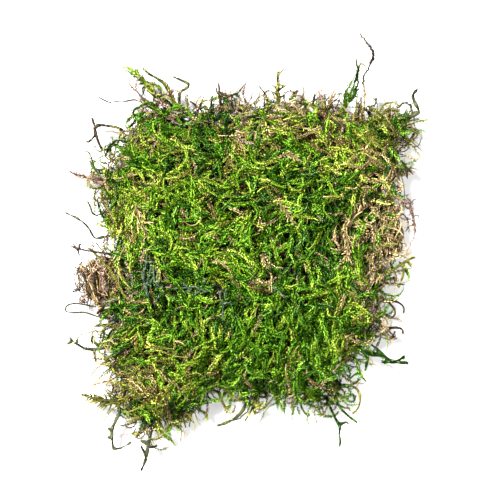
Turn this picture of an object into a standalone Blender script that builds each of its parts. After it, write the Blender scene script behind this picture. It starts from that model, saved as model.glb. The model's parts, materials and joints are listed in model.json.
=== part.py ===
"""A clump of feather moss: a mat of woven shoots, cut flat below, with dead thatch and loose shoots.

Every length in this file is in millimetres until metres() turns it into Blender's unit. The mat
lies on its cut underside at z = 0, with +Z up. +X is to the right and +Y is away from the front.
"""

import math
import random
from collections import namedtuple

import bmesh
import bpy
from mathutils import Vector, noise

MM = 0.001
GAP = 0.3                # clearance between neighbouring pieces
SEED = 7

# The mat
MAT_MIDDLE_HEIGHT = 17.0     # top of the woven mass in the middle
MAT_RIM_HEIGHT = 6.5         # where the mat's shoulder turns down into its side
MAT_SHOULDER = 3.0           # power of the fall from the middle to the rim
MAT_CELLS = 26               # cells along each side of the mat's top
MAT_WAIST_HEIGHT = 3.0
MAT_WAIST_INSET = 0.8
MAT_CUT_INSET = 2.6          # how far the flat cut lies inside the rim
LUMP_HEIGHT = 2.4
LUMP_WIDTH = 13.0
TUFT_HEIGHT = 2.4
TUFT_WIDTH = 6.0

# The shoots that are woven into the mat
SHOOT_ROOT = 3.0             # thickness at the root
SHOOT_TIP = 1.2
TOP_SHOOT_LENGTH = 15.0
TOP_SHOOT_SPACING = 16.0
TOP_SHOOT_ROWS = range(-3, 4)
TOP_SHOOT_LIFTS = (-2.0, 0.7, 1.6, 1.4, 0.6)    # height over the mat's top along a shoot
TOP_SHOOT_REACH = 0.92       # how far out its ends may lie, as a share of the rim's distance
RIM_SHOOT_ROOT = 2.5
RIM_SHOOT_LENGTH = 11.0
RIM_SHOOT_POINTS = 4
RIM_SHOOT_COUNT = 23
RIM_SHOOT_ROOT_DEPTH = 5.0   # how far inside the rim such a shoot starts
RIM_SHOOT_HEIGHTS = (2.6, 4.0)
RIM_SHOOT_DROOP = 0.2        # how far it falls from one point to the next
SHOOT_SCATTER = 0.3          # how far a shoot strays from its even place, as a share of the spacing
FREE_STRIP = 3.0             # no woven shoot comes this near to a frond that lies on the mat

# The lumps of dead thatch
THATCH_ROUGHNESS = 0.25      # how far the surface strays, as a share of its radius
THATCH_GRAIN = 2.5           # bumps across one radius
THATCH_MERIDIANS = 11
THATCH_RINGS = 7

# Dead fronds and strands on top of the mat
LYING_CLEARANCE = 0.5        # between the mat's top and a frond that lies on it
LYING_END_DROP = 1.2         # how far the ends sink back into the mat

# The mat's rim, seen from above, clockwise from the right
RIM = (
    (46.5, 0), (45.5, -5), (44.5, -10), (44.5, -15), (45.5, -20), (44.5, -25), (42, -29.5),
    (37, -30.5), (34.5, -35), (32.5, -39), (32.5, -44), (29, -46.5), (24, -45), (18.5, -46),
    (12, -45), (6, -45.5), (0, -44.5), (-6, -44), (-9, -43), (-12.2, -46), (-14, -50.5),
    (-19, -52.5), (-26, -52.5), (-32, -49), (-34.5, -45), (-35.5, -40), (-38.5, -36),
    (-41.5, -31), (-42.5, -27), (-41, -22), (-39.5, -16), (-39, -9), (-39, -2), (-39.5, 4),
    (-41.5, 9), (-42, 15), (-44, 21), (-44, 26), (-42, 32), (-39.5, 38), (-36, 40.5),
    (-30, 42), (-31, 46), (-32.5, 49), (-28, 50.5), (-22.5, 50), (-17.5, 45.5), (-12, 44.5),
    (-6, 46.5), (0, 48), (7, 48), (15, 48.5), (21, 47.5), (28, 49), (34, 46), (39, 42.5),
    (44, 43.5), (50, 45), (53.5, 42), (53, 36), (51, 30), (50, 25), (49.5, 20), (47, 16),
    (45.5, 10), (46, 5),
)

# A stem is a name, its finish and its limbs; a limb is its two thicknesses and its route. The
# first limb comes out of the mat, and the others grow from it.
Stem = namedtuple("Stem", "name finish limbs")
Limb = namedtuple("Limb", "root tip route")


def material(name, colour, roughness=0.8):
    """A plain finish, with the colour that the piece has in daylight."""
    finish = bpy.data.materials.new(name)
    finish.use_nodes = True
    shader = finish.node_tree.nodes["Principled BSDF"]
    shader.inputs["Base Color"].default_value = (*colour, 1.0)
    shader.inputs["Roughness"].default_value = roughness
    shader.inputs["Metallic"].default_value = 0.0
    return finish


def finishes():
    """The clump's finishes by name."""
    colours = {
        "living_moss": (0.10, 0.22, 0.02),
        "yellow_shoot": (0.30, 0.34, 0.05),
        "dark_stem": (0.05, 0.06, 0.02),
        "brown_stem": (0.14, 0.08, 0.04),
        "dead_thatch": (0.30, 0.19, 0.11),
        "tan_frond": (0.50, 0.38, 0.18),
        "grey_hair": (0.25, 0.24, 0.21),
    }
    return {name: material(name, colour) for name, colour in colours.items()}


def collection(name):
    """A collection linked to the scene."""
    group = bpy.data.collections.new(name)
    bpy.context.scene.collection.children.link(group)
    return group


def metres(points):
    """Points in millimetres as vectors in metres."""
    return [Vector(point) * MM for point in points]


# ---------------------------------------------------------------- building and joining solids

def evaluated_mesh(obj):
    """The mesh that an object's curve or modifiers make, as a new mesh."""
    depsgraph = bpy.context.evaluated_depsgraph_get()
    depsgraph.update()
    return bpy.data.meshes.new_from_object(obj.evaluated_get(depsgraph))


def mesh_object(name, mesh, group):
    """A mesh as an object of its own in a collection."""
    obj = bpy.data.objects.new(name, mesh)
    group.objects.link(obj)
    return obj


def combine(body, other, operation):
    """Join another solid to this one, or cut it away, and keep the result as the body's mesh."""
    modifier = body.modifiers.new("combine", "BOOLEAN")
    modifier.operation = operation
    modifier.solver = "EXACT"
    modifier.object = other
    result = evaluated_mesh(body)
    body.modifiers.remove(modifier)
    worn = body.data
    body.data = result
    bpy.data.meshes.remove(worn)


def discard(obj):
    """Remove a helper object with its mesh."""
    mesh = obj.data
    bpy.data.objects.remove(obj)
    bpy.data.meshes.remove(mesh)


def lengthened(route, extra):
    """A route's points as vectors, with both its ends drawn out."""
    points = [Vector(point) for point in route]
    points[0] += (points[0] - points[1]).normalized() * extra
    points[-1] += (points[-1] - points[-2]).normalized() * extra
    return points


def tube(name, limb, group, swell):
    """A bent stem of four sides that tapers from root to tip, with closed ends."""
    curve = bpy.data.curves.new(name, "CURVE")
    curve.dimensions = "3D"
    curve.bevel_depth = MM
    curve.bevel_resolution = 0
    curve.use_fill_caps = True
    spline = curve.splines.new("POLY")
    last = len(limb.route) - 1
    spline.points.add(last)
    places = metres(lengthened(limb.route, swell))
    for index, (point, place) in enumerate(zip(spline.points, places)):
        point.co = (*place, 1.0)
        point.radius = (limb.root + (limb.tip - limb.root) * index / last) / 2 + swell
    bent = bpy.data.objects.new(name, curve)
    group.objects.link(bent)
    mesh = evaluated_mesh(bent)
    bpy.data.objects.remove(bent)
    bpy.data.curves.remove(curve)
    welded = bmesh.new()
    welded.from_mesh(mesh)
    bmesh.ops.remove_doubles(welded, verts=welded.verts, dist=0.0001 * MM)
    bmesh.ops.recalc_face_normals(welded, faces=welded.faces)
    welded.to_mesh(mesh)
    welded.free()
    return mesh_object(name, mesh, group)


def keep_largest_piece(obj):
    """Delete what a cut has parted from the main stretch of a stem."""
    cut = bmesh.new()
    cut.from_mesh(obj.data)
    waiting = set(cut.verts)
    pieces = []
    while waiting:
        front = [waiting.pop()]
        piece = set(front)
        while front:
            vertex = front.pop()
            for edge in vertex.link_edges:
                other = edge.other_vert(vertex)
                if other not in piece:
                    piece.add(other)
                    front.append(other)
        waiting -= piece
        pieces.append(piece)
    pieces.sort(key=len)
    for piece in pieces[:-1]:
        bmesh.ops.delete(cut, geom=list(piece), context="VERTS")
    cut.to_mesh(obj.data)
    cut.free()


def boxes_meet(first, second):
    """Whether the boxes around two solids meet."""
    for axis in range(3):
        first_values = [vertex.co[axis] for vertex in first.data.vertices]
        second_values = [vertex.co[axis] for vertex in second.data.vertices]
        if min(first_values) > max(second_values) or min(second_values) > max(first_values):
            return False
    return True


def finish_with(obj, finish):
    """Give a solid its one finish."""
    obj.data.materials.clear()
    obj.data.materials.append(finish)


def join_limbs(body, limbs, swell):
    """Fuse limbs to the body that they grow from."""
    for limb in limbs:
        side = tube("side_limb", limb, body.users_collection[0], swell)
        combine(body, side, "UNION")
        discard(side)


def place_piece(build, name, finish, group, cutters):
    """Make a piece, trim it clear of those before it, and keep a swollen copy to trim the next."""
    solid = build(name, group, 0.0)
    for clearance in cutters.objects:
        if boxes_meet(solid, clearance):
            combine(solid, clearance, "DIFFERENCE")
    keep_largest_piece(solid)
    finish_with(solid, finish)
    clearance = build(name + "_clearance", cutters, GAP)
    clearance.hide_render = True
    clearance.display_type = "WIRE"


# ---------------------------------------------------------------- the mat

def rim_distance(angle):
    """How far the mat's rim is from the middle, in a direction seen from above."""
    heading_x = math.cos(angle)
    heading_y = math.sin(angle)
    farthest = 0.0
    for (x0, y0), (x1, y1) in zip(RIM, RIM[1:] + RIM[:1]):
        side_x = x1 - x0
        side_y = y1 - y0
        slant = heading_x * side_y - heading_y * side_x
        if abs(slant) < 1e-9:
            continue
        distance = (x0 * side_y - y0 * side_x) / slant
        along = (x0 * heading_y - y0 * heading_x) / slant
        if distance > 0 and 0 <= along <= 1:
            farthest = max(farthest, distance)
    return farthest


def share_of_reach(x, y):
    """How far out a point lies: 0 in the middle of the mat and 1 on its rim."""
    return math.hypot(x, y) / rim_distance(math.atan2(y, x))


def mat_surface(x, y):
    """The height of the mat's lumpy top above a point."""
    inside = max(0.0, 1.0 - share_of_reach(x, y) ** MAT_SHOULDER)
    rise = (MAT_MIDDLE_HEIGHT - MAT_RIM_HEIGHT) * math.sqrt(inside)
    lumps = LUMP_HEIGHT * noise.noise(Vector((x, y, SEED)) / LUMP_WIDTH)
    tufts = TUFT_HEIGHT * noise.noise(Vector((x, y, SEED)) / TUFT_WIDTH)
    return MAT_RIM_HEIGHT + rise + (lumps + tufts) * min(1.0, 2 * inside + 0.3)


def ring_below(shape, ring, inset, height):
    """Draw a ring of edges down and in, and return the new ring."""
    lower = bmesh.ops.extrude_edge_only(shape, edges=ring)["geom"]
    for vertex in lower:
        if isinstance(vertex, bmesh.types.BMVert):
            reach = math.hypot(vertex.co.x, vertex.co.y)
            vertex.co.x *= 1 - inset * MM / reach
            vertex.co.y *= 1 - inset * MM / reach
            vertex.co.z = height * MM
    return [edge for edge in lower if isinstance(edge, bmesh.types.BMEdge)]


def mat_body(name, group, swell):
    """The woven mass: a square grid drawn out to the rim, raised, and closed by a flat cut."""
    shape = bmesh.new()
    bmesh.ops.create_grid(shape, x_segments=MAT_CELLS, y_segments=MAT_CELLS, size=1.0)
    for vertex in shape.verts:
        square = max(abs(vertex.co.x), abs(vertex.co.y))
        angle = math.atan2(vertex.co.y, vertex.co.x)
        reach = square * rim_distance(angle)
        height = mat_surface(reach * math.cos(angle), reach * math.sin(angle)) + swell
        reach += swell * square ** MAT_SHOULDER
        vertex.co = Vector((reach * math.cos(angle), reach * math.sin(angle), height)) * MM
    rim = [edge for edge in shape.edges if edge.is_boundary]
    waist = ring_below(shape, rim, MAT_WAIST_INSET, MAT_WAIST_HEIGHT)
    cut = ring_below(shape, waist, MAT_CUT_INSET - MAT_WAIST_INSET, -swell)
    bmesh.ops.contextual_create(shape, geom=cut)
    bmesh.ops.recalc_face_normals(shape, faces=shape.faces)
    mesh = bpy.data.meshes.new(name)
    shape.to_mesh(mesh)
    shape.free()
    return mesh_object(name, mesh, group)


def top_shoot(x, y, heading, turn):
    """A shoot that comes up out of the mat, lies along it and dips again at its tip."""
    route = []
    step = TOP_SHOOT_LENGTH / (len(TOP_SHOOT_LIFTS) - 1)
    for lift in TOP_SHOOT_LIFTS:
        route.append((x, y, mat_surface(x, y) + lift))
        x += step * math.cos(heading)
        y += step * math.sin(heading)
        heading += turn
    return Limb(SHOOT_ROOT, SHOOT_TIP, route)


def rim_shoot(angle, heading, turn, height):
    """A shoot low in the mat's side that reaches past the rim."""
    reach = rim_distance(angle) - RIM_SHOOT_ROOT_DEPTH
    x = reach * math.cos(angle)
    y = reach * math.sin(angle)
    step = RIM_SHOOT_LENGTH / (RIM_SHOOT_POINTS - 1)
    route = []
    for index in range(RIM_SHOOT_POINTS):
        route.append((x, y, height - RIM_SHOOT_DROOP * index))
        x += step * math.cos(heading)
        y += step * math.sin(heading)
        heading += turn
    return Limb(RIM_SHOOT_ROOT, SHOOT_TIP, route)


def lies_free(shoot, lying):
    """Whether a shoot keeps off the fronds that lie on the mat."""
    for x, y, _ in shoot.route:
        for stem in lying:
            for lying_x, lying_y, _ in stem.limbs[0].route:
                if math.hypot(x - lying_x, y - lying_y) < FREE_STRIP:
                    return False
    return True


def free_top_shoot(x, y, heading, turn, lying):
    """A shoot on the mat's top, turned until it lies inside the rim and off the dead fronds."""
    for tried in (heading, heading + math.pi, heading + math.pi / 2):
        shoot = top_shoot(x, y, tried, turn)
        ends = shoot.route[0], shoot.route[-1]
        inside = all(share_of_reach(end[0], end[1]) < TOP_SHOOT_REACH for end in ends)
        if inside and lies_free(shoot, lying):
            return shoot
    return None


def woven_shoots(lying):
    """The shoots that stand out of the mat's top and low out of its side."""
    chance = random.Random(SEED)

    def stray():
        return chance.uniform(-SHOOT_SCATTER, SHOOT_SCATTER)

    shoots = []
    for row in TOP_SHOOT_ROWS:
        for column in TOP_SHOOT_ROWS:
            x = (column + stray() + 0.5 * (row % 2)) * TOP_SHOOT_SPACING
            y = (row + stray()) * TOP_SHOOT_SPACING
            heading = chance.uniform(-math.pi, math.pi)
            shoot = free_top_shoot(x, y, heading, stray(), lying)
            if shoot:
                shoots.append(shoot)
    for index in range(RIM_SHOOT_COUNT):
        angle = 2 * math.pi * (index + stray()) / RIM_SHOOT_COUNT
        heading = angle + chance.uniform(-0.7, 0.7)
        height = chance.uniform(*RIM_SHOOT_HEIGHTS)
        shoots.append(rim_shoot(angle, heading, stray(), height))
    return shoots


def rim_sprays():
    """The leafy sprays of the mat that stand out of its rim, as long as the loose shoots do."""
    return [
        Limb(1.6, 0.8, [(-28.5, -45, 7), (-33, -48.3, 8.2), (-36, -49.6, 8), (-38.3, -50.6, 7.8)]),
        Limb(1.4, 0.7, [(-28, -50, 5.5), (-33, -53, 6.4), (-36, -53.3, 6.3), (-37.6, -53.8, 6)]),
        Limb(1.5, 0.6, [(-17.5, -48, 5.5), (-16.2, -53, 6.8), (-15.7, -56.3, 6.8)]),
        Limb(1.2, 0.6, [(-19, -48, 5.5), (-18, -54, 6.4), (-16.4, -58.4, 5.6)]),
        Limb(1.4, 0.6, [(16.5, -42, 5.5), (16.9, -47.5, 6.8), (16.3, -51.5, 6.4)]),
        Limb(1.8, 0.8, [(26, -43, 4.5), (26.2, -47.5, 5), (26.5, -51, 4.8)]),
        Limb(1.4, 0.8, [(41, 39, 6), (41.2, 43, 9), (42.6, 44.6, 9.4), (45, 44.6, 9.6),
                        (47.8, 46.3, 9.8)]),
        Limb(1.5, 0.8, [(49, 41, 6), (49.7, 46, 10), (51.3, 48, 10.5), (53.2, 45.4, 10.2)]),
        Limb(1.8, 0.7, [(29, 46, 5.5), (28, 50.6, 8.5), (26, 51.7, 9), (24, 50.7, 9),
                        (22.7, 48.7, 8.6)]),
        Limb(1.4, 1.3, [(20.4, 44, 5.5), (19.6, 48, 8), (19.3, 50.9, 8.6)]),
        Limb(2.4, 1.0, [(34, 41, 7), (36.6, 45.4, 9.4), (37.2, 48.6, 10.4)]),
        Limb(2.0, 1.0, [(1, 44, 7), (2.5, 48, 9), (4.5, 50, 9)]),
        Limb(1.6, 0.8, [(14, 44, 6), (15.5, 49, 8), (18, 50, 8)]),
    ]


def moss_pad(name, group, lying, swell):
    """The mat with its shoots, one grown mass."""
    pad = mat_body(name, group, swell)
    join_limbs(pad, woven_shoots(lying) + rim_sprays(), swell)
    keep_largest_piece(pad)
    return pad


# ---------------------------------------------------------------- dead thatch

def thatch_lump(name, group, middle, radii, swell):
    """A lump of packed dead shoots: a round form, roughened, and cut flat where it lies."""
    shape = bmesh.new()
    bmesh.ops.create_uvsphere(shape, u_segments=THATCH_MERIDIANS, v_segments=THATCH_RINGS,
                              radius=1.0)
    for vertex in shape.verts:
        grain = noise.noise(vertex.co * THATCH_GRAIN + Vector(middle))
        rough = 1 + THATCH_ROUGHNESS * grain
        place = [centre + (radius * rough + swell) * part
                 for centre, radius, part in zip(middle, radii, vertex.co)]
        vertex.co = Vector(place) * MM
    everything = shape.verts[:] + shape.edges[:] + shape.faces[:]
    cut = bmesh.ops.bisect_plane(shape, geom=everything, plane_co=(0, 0, -swell * MM),
                                 plane_no=(0, 0, 1), clear_inner=True)
    ring = [edge for edge in cut["geom_cut"] if isinstance(edge, bmesh.types.BMEdge)]
    bmesh.ops.contextual_create(shape, geom=ring)
    bmesh.ops.recalc_face_normals(shape, faces=shape.faces)
    mesh = bpy.data.meshes.new(name)
    shape.to_mesh(mesh)
    shape.free()
    return mesh_object(name, mesh, group)


def thatch(name, group, middle, radii, strands, swell):
    """A clump of dead shoots, with the strands that loop out of it, as one tangled mass."""
    clump = thatch_lump(name, group, middle, radii, swell)
    join_limbs(clump, strands, swell)
    return clump


def dead_thatch_left(name, group, swell):
    """The brown bulge at the left."""
    strands = [
        Limb(1.6, 1.0, [(-44, -4, 6), (-48, -2.8, 8), (-51.4, -5, 7.5), (-52.2, -8.5, 6.5),
                        (-50, -12.5, 5.5)]),
        Limb(1.5, 0.8, [(-45, -3, 7), (-48.6, -7, 10), (-47.5, -12, 9), (-45, -15, 6)]),
        Limb(1.4, 0.8, [(-43, -2.5, 7), (-45, 1.5, 7.4), (-42.5, 4.3, 6.6)]),
        Limb(0.8, 0.5, [(-49, -11, 5), (-50.2, -13.4, 5), (-51, -15.7, 4.6)]),
        Limb(0.8, 0.5, [(-49.5, -9.5, 5), (-51.6, -11.2, 4.6), (-52.7, -12.9, 4)]),
        Limb(1.4, 0.8, [(-46, -13, 5), (-45.4, -17.6, 4.6), (-42.6, -19.4, 5)]),
    ]
    return thatch(name, group, (-44.4, -8.4, 4), (6.8, 8.6, 4.6), strands, swell)


def dead_thatch_right(name, group, swell):
    """The looser brown tangle at the right."""
    strands = [
        Limb(1.3, 0.9, [(49, 12, 6), (51.4, 17, 8), (55, 16.2, 8), (55.7, 11, 7), (55.6, 6.5, 6.5),
                        (54.4, 2.4, 6), (52.4, 0, 5.4)]),
        Limb(1.2, 0.8, [(48.5, 10, 7), (51.8, 13.4, 9), (53.8, 10, 8.6), (53.6, 7, 8)]),
        Limb(1.3, 0.8, [(48.6, 9, 6), (50.4, 5.4, 8.6), (49.8, 1.5, 7.6), (48.7, -3, 6.4)]),
        Limb(1.0, 0.7, [(49, 5, 6), (51.6, 3.2, 6), (52.2, 1.2, 5.6)]),
        Limb(0.7, 0.5, [(54.9, 15.6, 8), (55, 17.4, 8.2), (56.6, 17.2, 8.4)]),
    ]
    return thatch(name, group, (48.6, 8, 3.8), (3.6, 8.5, 4.2), strands, swell)


# ---------------------------------------------------------------- loose stems, by where they lie

def top_left_stems():
    """What stands out above the mat's upper left corner."""
    return [
        Stem("green_frond_top_left", "living_moss", [
            Limb(1.6, 0.7, [(-26.5, 47.5, 6), (-28.2, 51.2, 6.8), (-30.4, 54.6, 7.5),
                            (-33, 57.4, 8), (-35.6, 59.2, 8), (-37.8, 59.9, 7.5)]),
            Limb(0.8, 0.5, [(-30.2, 54.4, 7.5), (-31.4, 53.4, 7.2), (-31.6, 51.9, 7.0)]),
            Limb(0.4, 0.25, [(-32.8, 57.2, 8), (-33.6, 60.6, 8.5)])]),
        Stem("dark_stem_top_left", "dark_stem", [
            Limb(1.1, 0.5, [(-22, 47.5, 6.2), (-23, 52, 7.5), (-24.3, 54.8, 8.5),
                            (-27.5, 56.4, 9.5), (-29.8, 57.8, 10), (-31.2, 59.2, 10)])]),
        Stem("dark_hook_top_left", "dark_stem", [
            Limb(0.8, 0.6, [(-19.5, 46.5, 6.2), (-20.1, 51.9, 6.8), (-18.2, 52.6, 7.2),
                            (-16.1, 54.1, 7.6), (-18.2, 55.3, 8), (-22, 56.8, 8.5)])]),
        Stem("hair_top_left", "grey_hair", [
            Limb(0.4, 0.25, [(-30.5, 47.5, 6.2), (-33.5, 49.7, 6.9), (-36.5, 49, 6.8),
                             (-39.4, 48.6, 6.5), (-40.6, 49.2, 6.3), (-42.2, 48.3, 6),
                             (-46.4, 50.8, 5)])]),
        Stem("brown_fork_top_left", "brown_stem", [
            Limb(0.6, 0.4, [(-29.8, 39, 6.2), (-31.5, 41.6, 7), (-32, 43.4, 7.5),
                            (-35, 45.1, 8)]),
            Limb(0.4, 0.3, [(-31.9, 43.2, 7.5), (-31.8, 44.8, 8)])]),
    ]


def left_stems():
    """Stems at the left, from the square loop down to the low arc."""
    return [
        Stem("square_loop_left", "brown_stem", [
            Limb(0.7, 0.6, [(-36.5, 38.5, 6), (-38.8, 40.4, 6.8), (-42, 41, 7.5),
                            (-45.5, 41.3, 8), (-47, 40.3, 8), (-46.2, 37.5, 7.5),
                            (-45.2, 34.2, 7), (-43.6, 33.3, 6.8), (-40, 33.2, 6.4)]),
            Limb(0.5, 0.5, [(-46.7, 40.6, 8), (-47.2, 42, 8.3), (-47.5, 43.4, 8.5)]),
            Limb(0.25, 0.2, [(-46.3, 38.4, 7.6), (-48.6, 35.9, 6.5), (-49.9, 36, 6)])]),
        Stem("thin_hook_left", "dark_stem", [
            Limb(0.5, 0.3, [(-41.5, 27, 6.3), (-46.5, 26.8, 8.4), (-47.3, 28.6, 8.6),
                            (-47.9, 31.2, 8.6), (-48.8, 32.8, 8.6), (-50.2, 33, 8.4)]),
            Limb(0.3, 0.2, [(-47, 27.8, 8.5), (-48.5, 29.8, 8.6)])]),
        Stem("shaggy_tail_left", "dead_thatch", [
            Limb(2.2, 0.5, [(-40, 22.3, 6.2), (-44.5, 22.8, 7), (-47.5, 24.2, 7),
                            (-50.5, 24.9, 6.8), (-53, 25.3, 6.6), (-55.4, 26.7, 6.4)])]),
        Stem("curled_stem_left", "dark_stem", [
            Limb(0.5, 0.3, [(-39.5, 13.5, 6.3), (-44.3, 13.1, 7), (-46.5, 12.1, 7.2),
                            (-47.8, 13.2, 7.4), (-48.2, 15.3, 7.6), (-49.2, 16.9, 7.8)])]),
        Stem("long_stem_left", "dark_stem", [
            Limb(0.5, 0.3, [(-37.5, 5.5, 6.4), (-43, 5.8, 7.2), (-46.8, 4.6, 7.4),
                            (-47.8, 6.6, 7.5), (-49.4, 9.4, 7.6), (-52.5, 11.6, 7.5),
                            (-56.7, 13.4, 7)])]),
        Stem("twiglet_left", "brown_stem", [
            Limb(0.7, 0.4, [(-38, -0.4, 7.5), (-44, 0.2, 9.4), (-48, 0.9, 9.2),
                            (-51, 1.4, 8.8), (-54.3, 2.3, 8)]),
            Limb(0.4, 0.3, [(-52.7, 1.9, 8.4), (-53.7, 3.3, 8.6)]),
            Limb(0.4, 0.3, [(-51.2, 1.4, 8.7), (-51.9, 2.9, 8.9), (-50.8, 3.2, 9)]),
            Limb(0.4, 0.3, [(-52.2, 1.7, 8.5), (-51.7, -0.9, 7.6)])]),
        Stem("hair_loop_left", "grey_hair", [
            Limb(0.4, 0.35, [(-46.8, -17, 5.2), (-50, -16.3, 5.4), (-54, -15.7, 5.5),
                             (-56.3, -16.6, 5.5), (-56.6, -18.6, 5.5), (-54, -19, 5.5),
                             (-50, -18.4, 5.8), (-46, -20.4, 6.3), (-38.8, -20.2, 6.6)])]),
        Stem("yellow_shoot_left", "yellow_shoot", [
            Limb(1.5, 0.8, [(-36.5, -22.5, 6.2), (-41, -22.8, 7.2), (-44.5, -22.8, 7.2),
                            (-47.3, -23, 7)])]),
        Stem("branching_twig_left", "dark_stem", [
            Limb(1.0, 0.5, [(-37.5, -28.6, 6.4), (-42, -29.8, 7), (-46.5, -30.6, 7.2),
                            (-50, -30.4, 7.2), (-52.3, -29, 7), (-54, -28.1, 6.8),
                            (-56, -29, 6.5)]),
            Limb(0.5, 0.3, [(-53.6, -28.2, 6.8), (-55, -26.6, 7.2)]),
            Limb(0.3, 0.25, [(-52.4, -28.9, 7), (-52.5, -26.6, 7.6), (-50.2, -25.3, 7.8)]),
            Limb(0.6, 0.6, [(-45.2, -30.2, 7.2), (-46.6, -28.5, 7.6), (-48.3, -28.1, 7.8),
                            (-47.6, -26.3, 8)]),
            Limb(0.5, 0.4, [(-46.8, -30.4, 7.2), (-47, -32.6, 6.8), (-46.2, -35.4, 6.4)]),
            Limb(0.5, 0.4, [(-44.4, -30.1, 7.2), (-44.2, -27, 8), (-43.4, -24.6, 8.4)])]),
        Stem("low_arc_left", "dark_stem", [
            Limb(0.8, 0.5, [(-34.5, -35.2, 6.6), (-39.4, -36.2, 7.4), (-42.2, -36, 7.4),
                            (-45, -34.8, 7.4)]),
            Limb(0.7, 0.5, [(-39.6, -36.1, 7.4), (-39.4, -38, 7.2), (-38.9, -39.6, 7),
                            (-36.9, -39.7, 7)])]),
    ]


def bottom_left_stems():
    """The feathery frond and the long stems below the mat's lower left corner."""
    return [
        Stem("feather_frond_bottom_left", "living_moss", [
            Limb(1.1, 0.8, [(-30, -44.6, 6.2), (-33.5, -45.4, 7), (-36.3, -46.6, 7.4),
                            (-38.6, -47.8, 7.5), (-42, -47, 7.5), (-46, -46.6, 7.3),
                            (-50.1, -45.3, 7)]),
            Limb(0.6, 0.4, [(-49.2, -45.6, 7.1), (-50.3, -43.2, 7.3)]),
            Limb(0.7, 0.4, [(-46.8, -46.5, 7.2), (-48.4, -44.6, 7.6)]),
            Limb(0.7, 0.4, [(-44.6, -46.7, 7.3), (-46, -44.9, 7.8), (-45.2, -43.1, 8)]),
            Limb(1.0, 0.7, [(-42.2, -46.9, 7.5), (-43.1, -44.8, 8), (-43.7, -42.3, 8.4)]),
            Limb(0.7, 0.4, [(-40.4, -47.3, 7.5), (-42.1, -44.2, 8)]),
            Limb(0.7, 0.4, [(-38.7, -47.6, 7.5), (-41, -43.9, 8)]),
            Limb(0.7, 0.6, [(-38.6, -47.7, 7.4), (-42.3, -49.4, 6.6), (-41, -51.1, 6.3)])]),
        Stem("looped_stem_bottom_left", "brown_stem", [
            Limb(0.5, 0.4, [(-31.5, -42.4, 6.6), (-35.8, -43, 8.2), (-37, -42.1, 8.5),
                            (-38.3, -43, 8.6), (-37.6, -44.8, 8.8), (-36, -46.2, 9)])]),
        Stem("dark_stem_bottom_left", "dark_stem", [
            Limb(0.9, 0.4, [(-31.5, -46, 5.8), (-36, -48.5, 6.1), (-38.6, -50, 6),
                            (-40.4, -53.6, 5.8), (-41.6, -57, 5.4), (-41.4, -60, 5),
                            (-41.1, -62.9, 4.6)]),
            Limb(0.6, 0.5, [(-41.5, -56.5, 5.4), (-42.7, -56, 5.4)]),
            Limb(0.5, 0.4, [(-41.4, -59, 5.1), (-42.9, -58.9, 5)]),
            Limb(0.25, 0.25, [(-41.1, -62.6, 4.6), (-39, -62.7, 4.4), (-37, -61.6, 4.4),
                              (-34.8, -60.2, 4.6)])]),
        Stem("yellow_shoot_bottom_left", "yellow_shoot", [
            Limb(1.3, 0.5, [(-24.5, -50, 5.8), (-28.5, -54.6, 6), (-31.5, -56.6, 5.6),
                            (-33.7, -59.2, 5.1)]),
            Limb(0.4, 0.3, [(-32.8, -57.9, 5.3), (-35.6, -57.7, 5.5)])]),
        Stem("longest_stem_bottom", "dark_stem", [
            Limb(0.8, 0.4, [(-26.5, -49, 6.4), (-28.5, -55.3, 7.8), (-29.2, -59, 7.4),
                            (-30, -63, 6.6), (-30.6, -66.3, 6), (-32.3, -70, 5.2)]),
            Limb(0.5, 0.4, [(-29.5, -60.8, 7), (-32.1, -59.8, 7.4)]),
            Limb(0.5, 0.4, [(-29.6, -61.6, 6.9), (-28.3, -62, 7), (-26.9, -61.3, 7.2)]),
            Limb(0.5, 0.4, [(-30.3, -64.9, 6.3), (-32.2, -61.3, 6.9)])]),
    ]


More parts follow.
